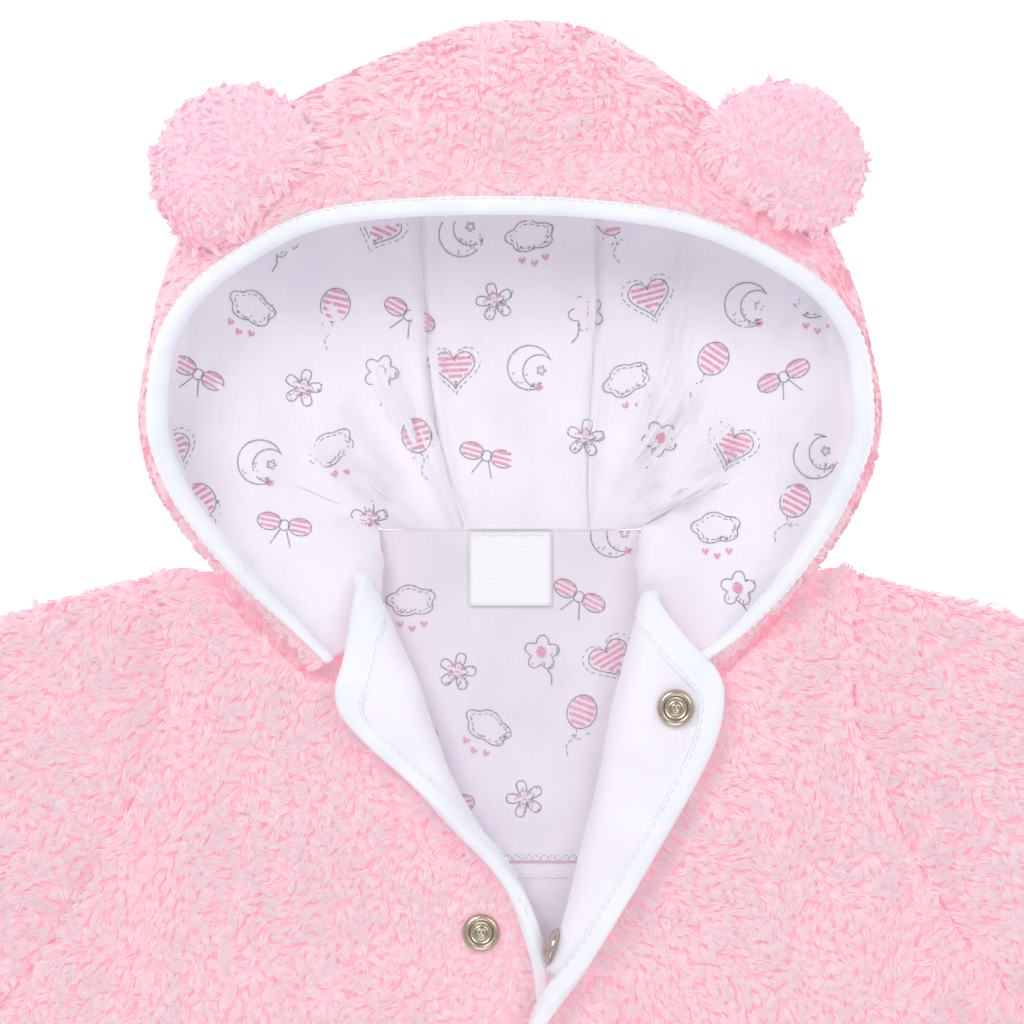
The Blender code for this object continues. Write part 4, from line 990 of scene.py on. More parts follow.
skin_grid, tall_grid, painted_shade_grid = hood_skin()
hood_pieces = []
for part, node in (("left", "hood_side_left"), ("centre", "hood_centre"), ("right", "hood_side_right")):
    first, last = panel_slices(HOOD_PANEL_SEAMS)[part]
    skin = skin_grid[first : last + 1]
    backing = closed_sheet(f"{node}_backing", hood["inside"][first : last + 1], skin, pink_backing)
    triangles = grid_triangles(*skin.shape[:2])
    flat_skin = skin.reshape(-1, 3)
    outward = -hood["inward"][first : last + 1].reshape(-1, 3)
    if np.einsum("ij,ij->i", surface_normals(flat_skin, triangles), outward).mean() < 0:
        triangles = triangles[:, ::-1]
    bare = (tall_grid[first : last + 1].reshape(-1)[triangles] > 0.0).sum(axis=1) >= 2
    pile = grow_pile(
        f"{node}_pile", flat_skin, triangles, tall_grid[first : last + 1].reshape(-1), brushed_over_hood,
        21 + first, pink_pile, keep=lambda centres, normals: ramp(normals[:, 2], -0.75, -0.35) * bare,
        painted_shade=painted_shade_grid[first : last + 1].reshape(-1),
    )
    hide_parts(node)

# %% [markdown]
# A sleeve is a flattened tube, so its cloth is one closed ring at every row from the armhole to the cuff. The upper
# half carries the pile that shows. The back lies under everything, pile down, and only its edges are seen.

# %% The sleeves and the back
SLEEVE_TOP = (("x", "down"), (104.8, 12.4), (128.0, 18.2), (154.2, 26.4), (205.0, 51.0), (256.0, 81.0), (301.0, 110.0))
SLEEVE_BOTTOM = (("x", "down"), (157.4, 151.0), (180.0, 159.0), (203.0, 166.0), (224.0, 172.5), (243.0, 178.5),
                 (261.0, 184.0))
SLEEVE_HEIGHT = 12.6
SLEEVE_ROWS = 33
SLEEVE_ACROSS = (1 - np.cos(np.linspace(0, math.pi, 33))) / 2


def sleeve_rings(side):
    """The sleeve's outer and inner rings of points, and how tall the pile stands at each outer one."""
    top, bottom, edge = columns(SLEEVE_TOP), columns(SLEEVE_BOTTOM), columns(OUTER_EDGE)
    across = SLEEVE_ACROSS
    knots = np.linspace(0, 1, len(top["x"]))
    seam_down = 12.4 + (ARMPIT_DOWN - 12.4) * across
    seam = np.stack([through(edge["down"], edge["out"], seam_down) + GAP, seam_down], axis=1)
    outer, inner, tall = [], [], []
    for row in np.linspace(0, 1, SLEEVE_ROWS):
        a = np.array([through(knots, top["x"], row), through(knots, top["down"], row)])
        b = np.array([through(knots, bottom["x"], row), through(knots, bottom["down"], row)])
        bent = a + (b - a) * across[:, None]
        bent = bent + (seam - (seam[0] + (seam[-1] - seam[0]) * across[:, None])) * (1 - row) ** 2
        width = np.linalg.norm(b - a)
        from_edge = np.minimum(across, 1 - across) * width
        height = SLEEVE_HEIGHT - 2.2 * (1 - ramp(row, 0.0, 0.07))
        high = 4.6 + (height - 4.6) * rounded(from_edge, 12.0)
        low = 1.8 * (1 - rounded(from_edge, 7.0))
        shares = 3.2 / width + (1 - 6.4 / width) * across
        within = np.stack([np.interp(shares, across, bent[:, k]) for k in range(2)], axis=1)
        roof = 4.0 + np.clip(high - PLUSH - 4.0, 0.3, 3.4) * rounded(from_edge, 9.0)
        roof[[0, -1]] = 4.15
        stand = np.minimum(PILE_SHARE * PLUSH, 0.5 * (high - roof + 1.0))
        narrow = 1.7 * (1 - rounded(from_edge, 12.0)) / width
        skin = np.stack([np.interp(narrow + (1 - 2 * narrow) * across, across, bent[:, k]) for k in range(2)], axis=1)
        ring_out = [(*p, z) for p, z in zip(skin, high - stand)]
        ring_out += [(*p, z) for p, z in zip(skin[-2:0:-1], low[-2:0:-1])]
        ring_in = [(*p, z) for p, z in zip(within, roof)] + [(*p, 4.0) for p in within[-2:0:-1]]
        outer.append([(side * x, -d, z) for x, d, z in ring_out])
        inner.append([(side * x, -d, z) for x, d, z in ring_in])
        tall.append(list(stand) + [1.4] * (len(across) - 2))
    return np.array(outer), np.array(inner), np.array(tall)


def brushed_down_sleeve(side):
    return lambda places: np.stack([0.9 * side + 0 * places[:, 0], -0.5 + 0 * places[:, 1], 0 * places[:, 2]], axis=1)


def dress_sleeve(name, side):
    outer, inner, tall = sleeve_rings(side)
    count, around = outer.shape[:2]
    index = np.arange(count * around).reshape(count, around)
    after = np.roll(index, -1, axis=1)
    quads = np.stack([index[:-1], after[:-1], after[1:], index[1:]], axis=-1).reshape(-1, 4)
    base = count * around
    ends = [np.stack([index[-1], after[-1], after[-1] + base, index[-1] + base], axis=-1)]
    ends.append(np.stack([after[0], index[0], index[0] + base, after[0] + base], axis=-1))
    faces = np.concatenate([quads, quads[:, ::-1] + base, *ends])
    points = np.concatenate([outer.reshape(-1, 3), inner.reshape(-1, 3)])
    backing = make_piece(f"{name}_backing", points, turned_out(points, faces.tolist()), pink_backing)
    triangles = np.concatenate([quads[:, [0, 1, 2]], quads[:, [0, 2, 3]]])
    flat = outer.reshape(-1, 3)
    if surface_normals(flat, triangles)[around // 4 :: around][:, 2].mean() < 0:
        triangles = triangles[:, ::-1]
    pile = grow_pile(
        f"{name}_pile", flat, triangles, tall.reshape(-1), brushed_down_sleeve(side), 31 + side, pink_pile,
        keep=lambda centres, normals: ramp(normals[:, 2], -0.5, -0.1),
    )
    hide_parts(name)


dress_sleeve("sleeve_left", -1)
dress_sleeve("sleeve_right", 1)


def dress_back():
    """The back panel, pile down on the table, as a plush block of which only the edge shows."""
    half = np.concatenate([np.linspace(0, 0.9, 10), [0.94, 0.97, 0.985, 0.995, 1.0]])
    across = np.concatenate([-half[:0:-1], half])
    top = np.where(np.abs(across) < 0.4, GAP, 12.9)
    below = []
    for share in np.linspace(0, 1, 40):
        down = HEM_DOWN + (top - HEM_DOWN) * share
        x = across * (outer_edge(down) - GAP / 2)
        below.append(np.stack([x, -down, 0 * x], axis=1))
    below = np.array(below)
    above = below.copy()
    down = -below[..., 1]
    from_side = outer_edge(down) - np.abs(below[..., 0])
    rounds = ramp(down, ARMPIT_DOWN - 6, ARMPIT_DOWN + 6)
    below[..., 2] = 1.8 * (1 - rounded(from_side, 9.0)) * rounds
    above[..., 2] = PLUSH_BELOW
    backing = closed_sheet("back_backing", below, above, pink_backing)
    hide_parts("back")


dress_back()

# %% [markdown]
# The ears are two plush rounds sewn together and stuffed. Their pile is brushed the same way all round, smoother
# and a little more lilac than the coat's, so they look plump and velvety.

# %% The ears
EAR_PILE = 1.5


def node_mesh(name):
    """A solid's points, in the garment's millimetres, and its triangles, with doubled points made one."""
    mesh = bpy.data.objects[name].data
    mesh.calc_loop_triangles()
    points = np.array([v.co for v in mesh.vertices]) / MM - GARMENT_TO_TABLE
    triangles = np.array([t.vertices for t in mesh.loop_triangles])
    unique, index = np.unique(points.round(3), axis=0, return_inverse=True)
    triangles = index.reshape(-1)[triangles]
    whole = (triangles[:, 0] != triangles[:, 1]) & (triangles[:, 1] != triangles[:, 2])
    return unique, triangles[whole & (triangles[:, 0] != triangles[:, 2])]


def dress_ear(side, half, centre):
    node = f"ear_{side}_{half}"
    points, triangles = node_mesh(node)
    normals = surface_normals(points, triangles)
    inset = points - normals * EAR_PILE * 0.8
    pad = make_piece(f"{node}_pad", inset, triangles.tolist(), ear_backing)
    outward = 1 if half == "front" else -1

    def brushed_out(places):
        away = places - np.asarray(centre)
        return np.stack([0.02 * away[:, 0], 0.3 + 0.02 * away[:, 1], 0 * away[:, 2]], axis=1)

    to_hood = (points[:, :2] - centre[:2]) @ ((0.76, -0.65) if side == "left" else (-0.76, -0.65))
    # Towards the hood the ear's locks are painted a deeper pink, as shade at its base.
    grow_pile(
        f"{node}_pile", inset, triangles, np.full(len(inset), EAR_PILE), brushed_out, 41 + outward, ear_pile,
        keep=lambda centres, normals: (1.1 if half == "front" else 0.7) * ramp(normals[:, 2] * outward + 0.6, 0.0, 0.5),
        painted_shade=0.9 * ramp(to_hood, 10.0, 24.0), long=0.8, swirl=0.4,
    )
    if half == "front":
        # The hood's own pile closes over the ear's seam, its locks a little darker with painted shade.
        at_seam = ramp(to_hood, 8.0, 15.0)
        grow_pile(
            f"{node}_seam_pile", inset, triangles, np.full(len(inset), 2.6),
            lambda places: np.tile([0.6 if side == "left" else -0.6, -0.75, 0.0], (len(places), 1)), 61, pink_pile,
            keep=lambda centres, normals: 2.2 * at_seam[triangles].mean(axis=1) * ramp(normals[:, 2], -0.5, 0.0),
            painted_shade=0.35 + 0 * at_seam, long=0.95, swirl=0.5,
        )
    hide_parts(node)


for side, centre in (("left", (-81.0, 106.2, 37.0)), ("right", (81.0, 108.6, 37.0))):
    for half in ("front", "back"):
        dress_ear(side, half, centre)

# Where the hood joins the fronts, the pile of both closes over the neck seam, with a little painted shade.
NECK_SEAM_ENDS = {"left": ((-86.0, -17.0), (-50.0, -47.0)), "right": ((82.0, -24.0), (60.0, -43.0))}
BACK_TOP = 3.8
for side, ends in NECK_SEAM_ENDS.items():
    start, end = np.array(ends)
    way = (end - start) / np.linalg.norm(end - start)
    spine = start + (end - start) * np.linspace(0, 1, 12)[:, None]
    ribbon = spine[:, None] + np.array([-way[1], way[0]]) * np.linspace(-3.8, 3.8, 6)[:, None]
    ribbon = np.concatenate([ribbon, np.full(ribbon.shape[:2] + (1,), BACK_TOP)], axis=2)
    triangles = grid_triangles(*ribbon.shape[:2])
    if surface_normals(ribbon.reshape(-1, 3), triangles)[:, 2].mean() < 0:
        triangles = triangles[:, ::-1]
    count = ribbon.shape[0] * ribbon.shape[1]
    grow_pile(
        f"neck_seam_pile_{side}", ribbon.reshape(-1, 3), triangles, np.full(count, 3.4), brushed_down, 83, pink_pile,
        painted_shade=np.full(count, 0.3), swirl=0.6,
    )

# %% [markdown]
# The lining is fine cotton jersey, white with a breath of lilac. It isn't sewn down inside the hood, so it stands
# up in soft folds. Those are placed as ridges over the plan of the hood, each with its own reach and height, and
# small slack waves lie between them.

# %% Cotton for the lining


def jersey_material(name, colour, shade):
    """Fine cotton jersey: matt, with faint knitted ribs, and painted shade in the hollows of its slack waves, which the
    eye reads as soft cloth.
    """
    material, tree = new_material(name)
    place = add_node(tree, "ShaderNodeTexCoord")
    # The real ribs are 0.5 mm apart. They are drawn 0.9 mm apart, the finest that the picture can show.
    ribs = add_node(tree, "ShaderNodeTexWave", [("Vector", place.outputs["Object"])], Scale=350.0, Distortion=1.5)
    ribs.inputs["Detail"].default_value = 2.0
    ribs.inputs["Detail Scale"].default_value = 2.0
    slack = add_node(tree, "ShaderNodeTexNoise", [("Vector", place.outputs["Object"])], Scale=55.0, Detail=3.0)
    # The low parts of the slack waves take the shade colour: painted shade in their hollows.
    colours = add_node(tree, "ShaderNodeValToRGB", [("Fac", slack.outputs["Fac"])])
    colours.color_ramp.elements[0].color = linear(shade)
    colours.color_ramp.elements[0].position = 0.3
    colours.color_ramp.elements[1].color = linear(colour)
    colours.color_ramp.elements[1].position = 0.6
    fine = add_node(tree, "ShaderNodeBump", [("Height", ribs.outputs["Fac"])], Strength=0.12, Distance=0.0003)
    waves = add_node(
        tree, "ShaderNodeBump", [("Height", slack.outputs["Fac"]), ("Normal", fine.outputs[0])],
        Strength=0.35, Distance=0.002,
    )
    links = [("Base Color", colours.outputs[0]), ("Normal", waves.outputs[0])]
    surface = add_node(tree, "ShaderNodeBsdfPrincipled", links, Roughness=0.85, Sheen_Weight=0.15)
    surface.inputs["Specular IOR Level"].default_value = 0.2
    # Thin white cotton lets light through; here that is a faint glow in its own colour, painted light that keeps its
    # shaded side bright.
    surface.inputs["Emission Color"].default_value = linear(colour)
    surface.inputs["Emission Strength"].default_value = 0.07
    add_node(tree, "ShaderNodeOutputMaterial", [("Surface", surface.outputs[0])])
    return material


printed_cotton = jersey_material("knitted cotton jersey, lilac white", "F5F0F7", "EFE9F3")
# Down in the coat the lining lies in its own shade, painted into this darker copy of the cotton.
shaded_cotton = jersey_material("knitted cotton jersey, in the coat", "E9E2EB", "E2DAE6")
plain_cotton = jersey_material("knitted cotton jersey, plain", "FAF6FD", "F3EEF9")
tape_cotton = jersey_material("folded cotton binding", "F8FAFF", "EFF3FB")

# Each fold: its line in plan from the middle of the hood, how far it reaches to each side, and its height
HOOD_FOLDS = (
    ([(-35, 1.5), (-40, 18), (-46, 27), (-52, 22)], 5.0, 3.2),
    ([(-35, 39), (-27, 30), (-21, 20), (-19.5, 10)], 3.4, 3.0),
    ([(-51, 1.5), (-46, -7), (-41, -14)], 3.0, 2.4),
    ([(43, 1.5), (40.5, 14), (40, 27), (50, 37)], 4.2, 4.2),
    ([(50, 37), (58, 36), (62, 28), (60.5, 17)], 4.0, 3.6),
    ([(60, 16), (52, 8), (46, 3)], 3.4, 2.6),
    ([(52, 83), (51, 66), (48, 48)], 3.0, 2.0),
    ([(-24, 83), (-25, 56), (-22, 34)], 2.2, 1.4),
    ([(26, 60), (25, 40), (24, 14)], 2.4, 1.6),
    ([(-70, 60), (-78, 40), (-74, 18)], 5.0, 1.6),
    ([(84, 58), (90, 38), (86, 18)], 5.0, 1.6),
    ([(-4, 44), (2, 26), (4, 10)], 5.0, 1.0),
)


def folded(points):
    """How far the folds raise the lining at each point, in millimetres."""
    height = np.zeros(len(points))
    for line, reach, tall in HOOD_FOLDS:
        height = np.maximum(height, 2.5 * tall * near_line(points, line, 0.85 * reach))
    slack = noise_field(points, 17.0, 5)[:, 0] + 0.5 * noise_field(points, 7.0, 6)[:, 0]
    return height + 1.6 * np.clip(slack, -0.3, 1.0)


def lining_layers():
    face, back, inward = hood["lining_face"], hood["lining_back"], hood["inward"]
    steps = np.linalg.norm(np.diff(hood["outside"], axis=1), axis=2)
    zero = np.zeros((HOOD_STATIONS, 1))
    to_rim = np.concatenate([np.cumsum(steps[:, ::-1], axis=1)[:, ::-1], zero], axis=1)
    from_neck = np.concatenate([zero, np.cumsum(steps, axis=1)], axis=1)
    free = ramp(to_rim, 5.0, 16.0) * ramp(from_neck, 0.0, 10.0) * hood["scale"]
    raised = folded(face.reshape(-1, 3)).reshape(free.shape) * free
    return back, face + inward * raised[..., None]


# Where the photo shows the lining's two seams, from the neck to the rim, in garment millimetres: station, points.
SEAM_LINES = (
    (60, ((-13.8, 3.0), (-19.5, 17.7), (-22.5, 32.1), (-24.9, 54.0), (-26.7, 87.3))),
    (84, ((31.5, 0.9), (23.4, 10.2), (24.0, 32.1), (24.9, 48.0), (26.4, 68.4), (26.4, 88.8))),
)


def with_seams_shifted(grid):
    """The grid with its columns slid along the hood, so that each seam's column lies where the real seam does."""
    at = np.arange(len(grid), dtype=float)
    moved, shifts = grid.copy(), [0.0, 0.0]
    for j in range(grid.shape[1]):
        source = at.copy()
        for k, (seam, line) in enumerate(SEAM_LINES):
            if j <= FLOOR_STEPS + 1:
                x, y = np.array(line).T
                near = np.arange(seam - 14, seam + 15)
                beside = grid[near, j, 0] - np.interp(grid[near, j, 1], y, x)
                shifts[k] = np.clip(np.interp(0.0, beside, near) - seam, -10.0, 10.0)
            source += shifts[k] * np.clip(1 - np.abs(at - seam) / 11.5, 0, 1)
        moved[:, j] = np.stack([np.interp(source, at, grid[:, j, k]) for k in range(3)], axis=1)
    return moved


def with_neck_edge(grid, lift):
    """The grid with one more step at the neck, where the lining runs on over the seam."""
    way = grid[:, 1] - grid[:, 0]
    way[:, 2] = 0
    way /= np.maximum(np.linalg.norm(way, axis=1), 1e-6)[:, None]
    at = np.linspace(0, len(HOOD) - 2, len(grid))
    from_ends = np.minimum(at, len(HOOD) - 2 - at)
    over_fronts = 1 - ramp(from_ends, 3.4, 5.0)
    edge = grid[:, 0] - way * (1.4 + 5.6 * over_fronts)[:, None]
    edge[:, 2] += lift + 1.1 * over_fronts
    return np.concatenate([edge[:, None], grid], axis=1)


SEAM_GAP = 0.03


def lining_panel(grid, first, last):
    """One panel's columns, with the cloth dipping into the seams at its sides."""
    piece = grid[first : last + 1].copy()
    for end, beside in ((0, 1), (-1, -2)):
        if (first, last)[end] in (0, HOOD_STATIONS - 1):
            continue
        way = piece[beside] - piece[end]
        size = np.maximum(np.linalg.norm(way, axis=1), 1e-6)[:, None]
        piece[end] = piece[end] + way * np.minimum(0.5, SEAM_GAP / size)
    return piece


lining_back, lining_face = (with_seams_shifted(with_neck_edge(g, -0.95)) for g in lining_layers())
inward_all = np.concatenate([hood["inward"][:, :1], hood["inward"]], axis=1)
lining_pieces = []
for part, (first, last) in panel_slices(LINING_PANEL_SEAMS).items():
    node = f"hood_lining_{part}"
    inner, outer = lining_panel(lining_face, first, last), lining_panel(lining_back, first, last)
    piece = closed_sheet(f"{node}_cotton", outer, inner, printed_cotton)
    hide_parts(node)
    lining_pieces.append(piece)

# %% [markdown]
# The back's lining lies flat in the neck. A printed piece ends in a seam, which is stitched over with a flat double
# row, and a plain piece goes on below it. The label is a woven ribbon, left bare.

# %% The neck lining and the label
LINING_HALF = 44.0
PRINT_DOWN = 101.0  # the seam between the printed lining and the plain one
PLAIN_DOWN = 146.0
LINING_UNDER = 4.1
LABEL = {"left": -12.3, "right": 12.6, "top": 0.9, "bottom": 23.4, "thick": 0.4}


def flat_cloth(name, left, right, top, bottom, under, thick, material, wave=0.0, narrow=0.0):
    """A level sheet of cloth with small slack waves."""
    rows = max(3, int((bottom - top) / 1.6))
    down = np.linspace(top, bottom, rows)
    inset = narrow * (1 - ramp(down, top, top + 14.0))
    share = np.linspace(0, 1, max(4, int((right - left) / 1.6)))
    x = (left + inset)[:, None] + (right - left - 2 * inset)[:, None] * share
    below = np.stack([x, np.broadcast_to(-down[:, None], x.shape), np.full(x.shape, under)], axis=-1)
    above = below + [0.0, 0.0, thick]
    if wave:
        above[..., 2] += wave * np.clip(noise_field(above.reshape(-1, 3), 14.0, 8)[:, 0], -0.2, 1).reshape(x.shape)
    return closed_sheet(name, below, above, material)


back_print = flat_cloth(
    "back_lining_print_cotton", -LINING_HALF - 4, LINING_HALF + 4, 0.3, PRINT_DOWN, LINING_UNDER, LINING, shaded_cotton,
    wave=0.5, narrow=6.0,
)
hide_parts("back_lining_print")
back_plain = flat_cloth(
    "back_lining_plain_cotton", -LINING_HALF, LINING_HALF, PRINT_DOWN + GAP, PLAIN_DOWN, LINING_UNDER, LINING,
    shaded_cotton, wave=0.3,
)
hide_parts("back_lining_plain")


def ribbon_material():
    """Woven satin ribbon: white, with fine crosswise threads that give it a slight gloss."""
    material, tree = new_material("woven satin ribbon")
    place = add_node(tree, "ShaderNodeTexCoord")
    threads = add_node(tree, "ShaderNodeTexWave", [("Vector", place.outputs["Object"])], Scale=420.0)
    threads.bands_direction = "Y"
    relief = add_node(tree, "ShaderNodeBump", [("Height", threads.outputs["Fac"])], Strength=0.25, Distance=0.0002)
    surface = add_node(
        tree, "ShaderNodeBsdfPrincipled", [("Normal", relief.outputs[0])], Base_Color=linear("FDFDFE"), Roughness=0.45
    )
    add_node(tree, "ShaderNodeOutputMaterial", [("Surface", surface.outputs[0])])
    return material


satin_ribbon = ribbon_material()
label = flat_cloth(
    "label_ribbon", LABEL["left"], LABEL["right"], LABEL["top"], LABEL["bottom"], LINING_UNDER + LINING + 0.8,
    LABEL["thick"], satin_ribbon, wave=0.35,
)
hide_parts("label")

# %% [markdown]
# The lining's print is drawn in thin grey lines with pink stripes, here as small generic motifs: clouds, hearts,
# stars, moons, balloons and flowers. Each line is a ribbon of ink laid on the cloth. It is drawn flat first, then
# every point is dropped onto the lining from above, so the motifs bend over the folds and end at the seams.

# %% The print's motifs
INK_LINE = 0.27
INK_LIFT = 0.16


def circle(count, start=0.0, end=2 * math.pi):
    return np.linspace(start, end, count)


def closed_shape(radius_of, wide=1.0, high=1.0):
    turn = circle(73)
    radius = radius_of(turn)
    return np.stack([radius * np.cos(turn) * wide, radius * np.sin(turn) * high], axis=1)


def heart(size):
    turn = circle(61)
    x = 16 * np.sin(turn) ** 3
    y = 13 * np.cos(turn) - 5 * np.cos(2 * turn) - 2 * np.cos(3 * turn) - np.cos(4 * turn)
    return np.stack([x, y], axis=1) * size / 16


def cloud(size):
    return closed_shape(lambda a: size * (0.82 + 0.22 * np.abs(np.sin(2.5 * a + 0.4))), 1.0, 0.62)


def star(size):
    return closed_shape(lambda a: size * (0.62 + 0.3 * np.cos(5 * (a - math.pi / 2)) + 0.08 * np.cos(10 * a)))


def moon(size):
    outer, inner = circle(41, 0.7, 2 * math.pi - 0.7), circle(31, 2 * math.pi - 1.05, 1.05)
    a = np.stack([np.cos(outer), np.sin(outer)], axis=1)
    b = np.stack([0.45 + 0.72 * np.cos(inner), 0.74 * np.sin(inner)], axis=1)
    shape = np.concatenate([a, b, a[:1]])
    return shape * size


def stripes(shape, step, thick):
    """Short bars across a closed shape, as quads."""
    bars = []
    for y in np.arange(shape[:, 1].min() + step * 0.6, shape[:, 1].max(), step):
        a, b = shape[:-1], shape[1:]
        crosses = (a[:, 1] - y) * (b[:, 1] - y) < 0
        share = (y - a[crosses, 1]) / (b[crosses, 1] - a[crosses, 1])
        x = np.sort(a[crosses, 0] + share * (b[crosses, 0] - a[crosses, 0]))
        for low, high in zip(x[::2], x[1::2]):
            cuts = np.linspace(low + 0.2, high - 0.2, max(2, int((high - low) / 0.8) + 1))
            for left, right in zip(cuts[:-1], cuts[1:]):
                bars.append([(left, y), (right, y), (right, y + thick), (left, y + thick)])
    return bars


def ink_line(points, width=INK_LINE, dash=None):
    """A line as a ribbon of quads. dash is (drawn, left out) in millimetres."""
    points = np.asarray(points, float)
    run = np.concatenate([[0.0], np.cumsum(np.linalg.norm(np.diff(points, axis=0), axis=1))])
    at = np.linspace(0, run[-1], max(2, int(run[-1] / 0.55) + 1))
    line = np.stack([np.interp(at, run, points[:, k]) for k in range(2)], axis=1)
    ahead = np.gradient(line, axis=0)
    ahead /= np.maximum(np.linalg.norm(ahead, axis=1), 1e-6)[:, None]
    side = np.stack([-ahead[:, 1], ahead[:, 0]], axis=1) * width / 2
    quads = []
    for k in range(len(line) - 1):
        if dash and (at[k] % sum(dash)) > dash[0]:
            continue
        quads.append([line[k] - side[k], line[k + 1] - side[k + 1], line[k + 1] + side[k + 1], line[k] + side[k]])
    return quads


def hatching(shape, rng, count=16):
    """Short pencil strokes along the right and lower side of a shape."""
    quads = []
    for _ in range(count):
        k = rng.integers(0, len(shape) - 1)
        place = shape[k] * rng.uniform(0.78, 0.97)
        if place[0] * 0.7 - place[1] < 0:
            continue
        way = rng.uniform(-0.35, 0.35, 2) + np.array([0.5, 0.6])
        quads += ink_line([place, place + way], 0.2)
    return quads


def motif(kind, rng):
    """(grey quads, pink quads) of one motif, drawn round its middle, about 12 mm across."""
    if kind == "cloud":
        shape = cloud(6.2)
        grey = ink_line(shape) + ink_line(shape * 0.78, 0.22, (0.9, 0.7)) + hatching(shape, rng, 26)
        drops = [heart(1.1) + [dx, -6.0 - dy] for dx, dy in ((-3, 0), (0, 1.2), (3, 0.1))]
        pink = [q for d in drops for q in stripes(d, 0.45, 0.4)]
    elif kind == "heart":
        shape = heart(5.2)
        grey = ink_line(shape) + ink_line(shape * 1.28, 0.22, (1.0, 0.8)) + hatching(shape, rng)
        pink = stripes(shape * 0.9, 1.5, 0.75)
    elif kind == "star":
        shape = star(5.6)
        grey = ink_line(shape) + hatching(shape, rng, 24) + ink_line(shape * 0.55, 0.22, (0.7, 0.6))
        pink = stripes(shape * 0.5, 1.1, 0.5)
    elif kind == "moon":
        shape = moon(5.6)
        grey = ink_line(shape) + hatching(shape, rng, 30) + ink_line(star(1.5) + [3.0, 0.4], 0.25)
        pink = [q for q in stripes(heart(1.2) + [4.0, -4.2], 0.5, 0.42)]
    elif kind == "balloon":
        shape = closed_shape(lambda a: 4.3 + 0 * a, 0.86, 1.0) + [0, 3.0]
        tail = np.stack([0.7 * np.sin(np.linspace(0, 7, 30)), np.linspace(-1.4, -8.5, 30)], axis=1)
        grey = ink_line(shape) + ink_line(tail, 0.22, (1.1, 0.5)) + hatching(shape - [0, 3.0], rng, 10)
        pink = stripes(shape * [0.92, 0.98], 1.6, 0.8)
    elif kind == "flower":
        shape = closed_shape(lambda a: 2.6 + 1.9 * np.abs(np.cos(2.5 * a)))
        grey = ink_line(shape) + ink_line([(0.3, -4.3), (1.0, -6.2), (0.4, -8.4)], 0.3) + hatching(shape, rng, 16)
        pink = stripes(closed_shape(lambda a: 1.5 + 0 * a), 0.6, 0.5)
    else:
        shape = closed_shape(lambda a: 1.7 + 0 * a)
        loops = [closed_shape(lambda a: 3.0 + 0 * a, 1.0, 0.72) + [side * 4.0, 0.3] for side in (-1, 1)]
        grey = ink_line(shape * 0.8) + [q for loop in loops for q in ink_line(loop)]
        grey += ink_line([(-0.8, -1.2), (-2.6, -5.2)]) + ink_line([(0.8, -1.2), (2.6, -5.2)])
        pink = [q for loop in loops for q in stripes(loop, 1.3, 0.6)]
    return np.array(grey).reshape(-1, 4, 2), np.array(pink).reshape(-1, 4, 2)


def printed_surface():
    """What the print lies on: the lining's inner side and the neck lining's top, as a tree to drop points onto."""
    rows, across = lining_face.shape[:2]
    hood_triangles = grid_triangles(rows, across)
    points = lining_face.reshape(-1, 3)
    if np.einsum("ij,ij->i", surface_normals(points, hood_triangles), inward_all.reshape(-1, 3)).mean() < 0:
        hood_triangles = hood_triangles[:, ::-1]
    data = back_print.data
    top = np.array([v.co for v in data.vertices]) / MM - GARMENT_TO_TABLE
    half = len(top) // 2
    top = top[half:]
    quads = [[i - half for i in p.vertices] for p in data.polygons if min(p.vertices) >= half]
    corners = [points[k] for k in range(len(points))] + [q for q in top]
    faces = hood_triangles.tolist() + [[i + len(points) for i in q] for q in quads]
    return BVHTree.FromPolygons([tuple(c) for c in corners], faces)


def print_motifs(name, kinds, spacing, seed):
    rng = np.random.default_rng(seed)
    surface = printed_surface()
    inks = {"grey": [], "pink": []}
    row = 0
    for y in np.arange(88.0, -104.0, -0.86 * spacing):
        row += 1
        for k, x in enumerate(np.arange(-104.0 + (row % 2) * spacing / 2, 106.0, spacing)):
            middle = np.array([x, y]) + rng.uniform(-4.0, 4.0, 2)
            angle = rng.uniform(-0.6, 0.6)
            kind = kinds[(k * 3 + row * 2) % len(kinds)]
            drawn = motif(kind, rng)
            on_label = abs(middle[0]) < 20 and -32 < middle[1] < 6
            if on_label or (middle[1] < 0 and abs(middle[0]) < 60 and abs(middle[0]) > 36):
                continue
            turn = np.array([[math.cos(angle), -math.sin(angle)], [math.sin(angle), math.cos(angle)]])
            for ink, quads in zip(("grey", "pink"), drawn):
                if len(quads):
                    placed = 1.2 * quads @ turn.T + middle
                    own_side = (placed[..., 1] * np.sign(middle[1]) > 0.5).all(axis=1)
                    inks[ink].append(placed[own_side | (abs(middle[0]) > 48)])
    points, faces, which = [], [], []
    for ink, groups in inks.items():
        for quad in np.concatenate(groups):
            hits = []
            for x, y in quad:
                place, normal, index, _ = surface.ray_cast(Vector((x, y, 90.0)), Vector((0, 0, -1)))
                if place is None or normal.z < 0.12:
                    break
                hits.append(np.array(place) + np.array(normal) * INK_LIFT)
            if len(hits) < 4 or np.ptp([h[2] for h in hits]) > 3.0:
                continue
            if np.cross(hits[1] - hits[0], hits[2] - hits[0])[2] < 0:
                hits = hits[::-1]
            faces.append([len(points) + k for k in range(4)])
            points += hits
            which.append(0 if ink == "grey" else 1)
    made = make_piece(name, points, faces, grey_ink, smooth=False)
    made.data.materials.append(pink_ink)
    made.data.polygons.foreach_set("material_index", np.array(which, dtype=np.int32))
    print(name, len(faces), "strokes of ink")
    return made


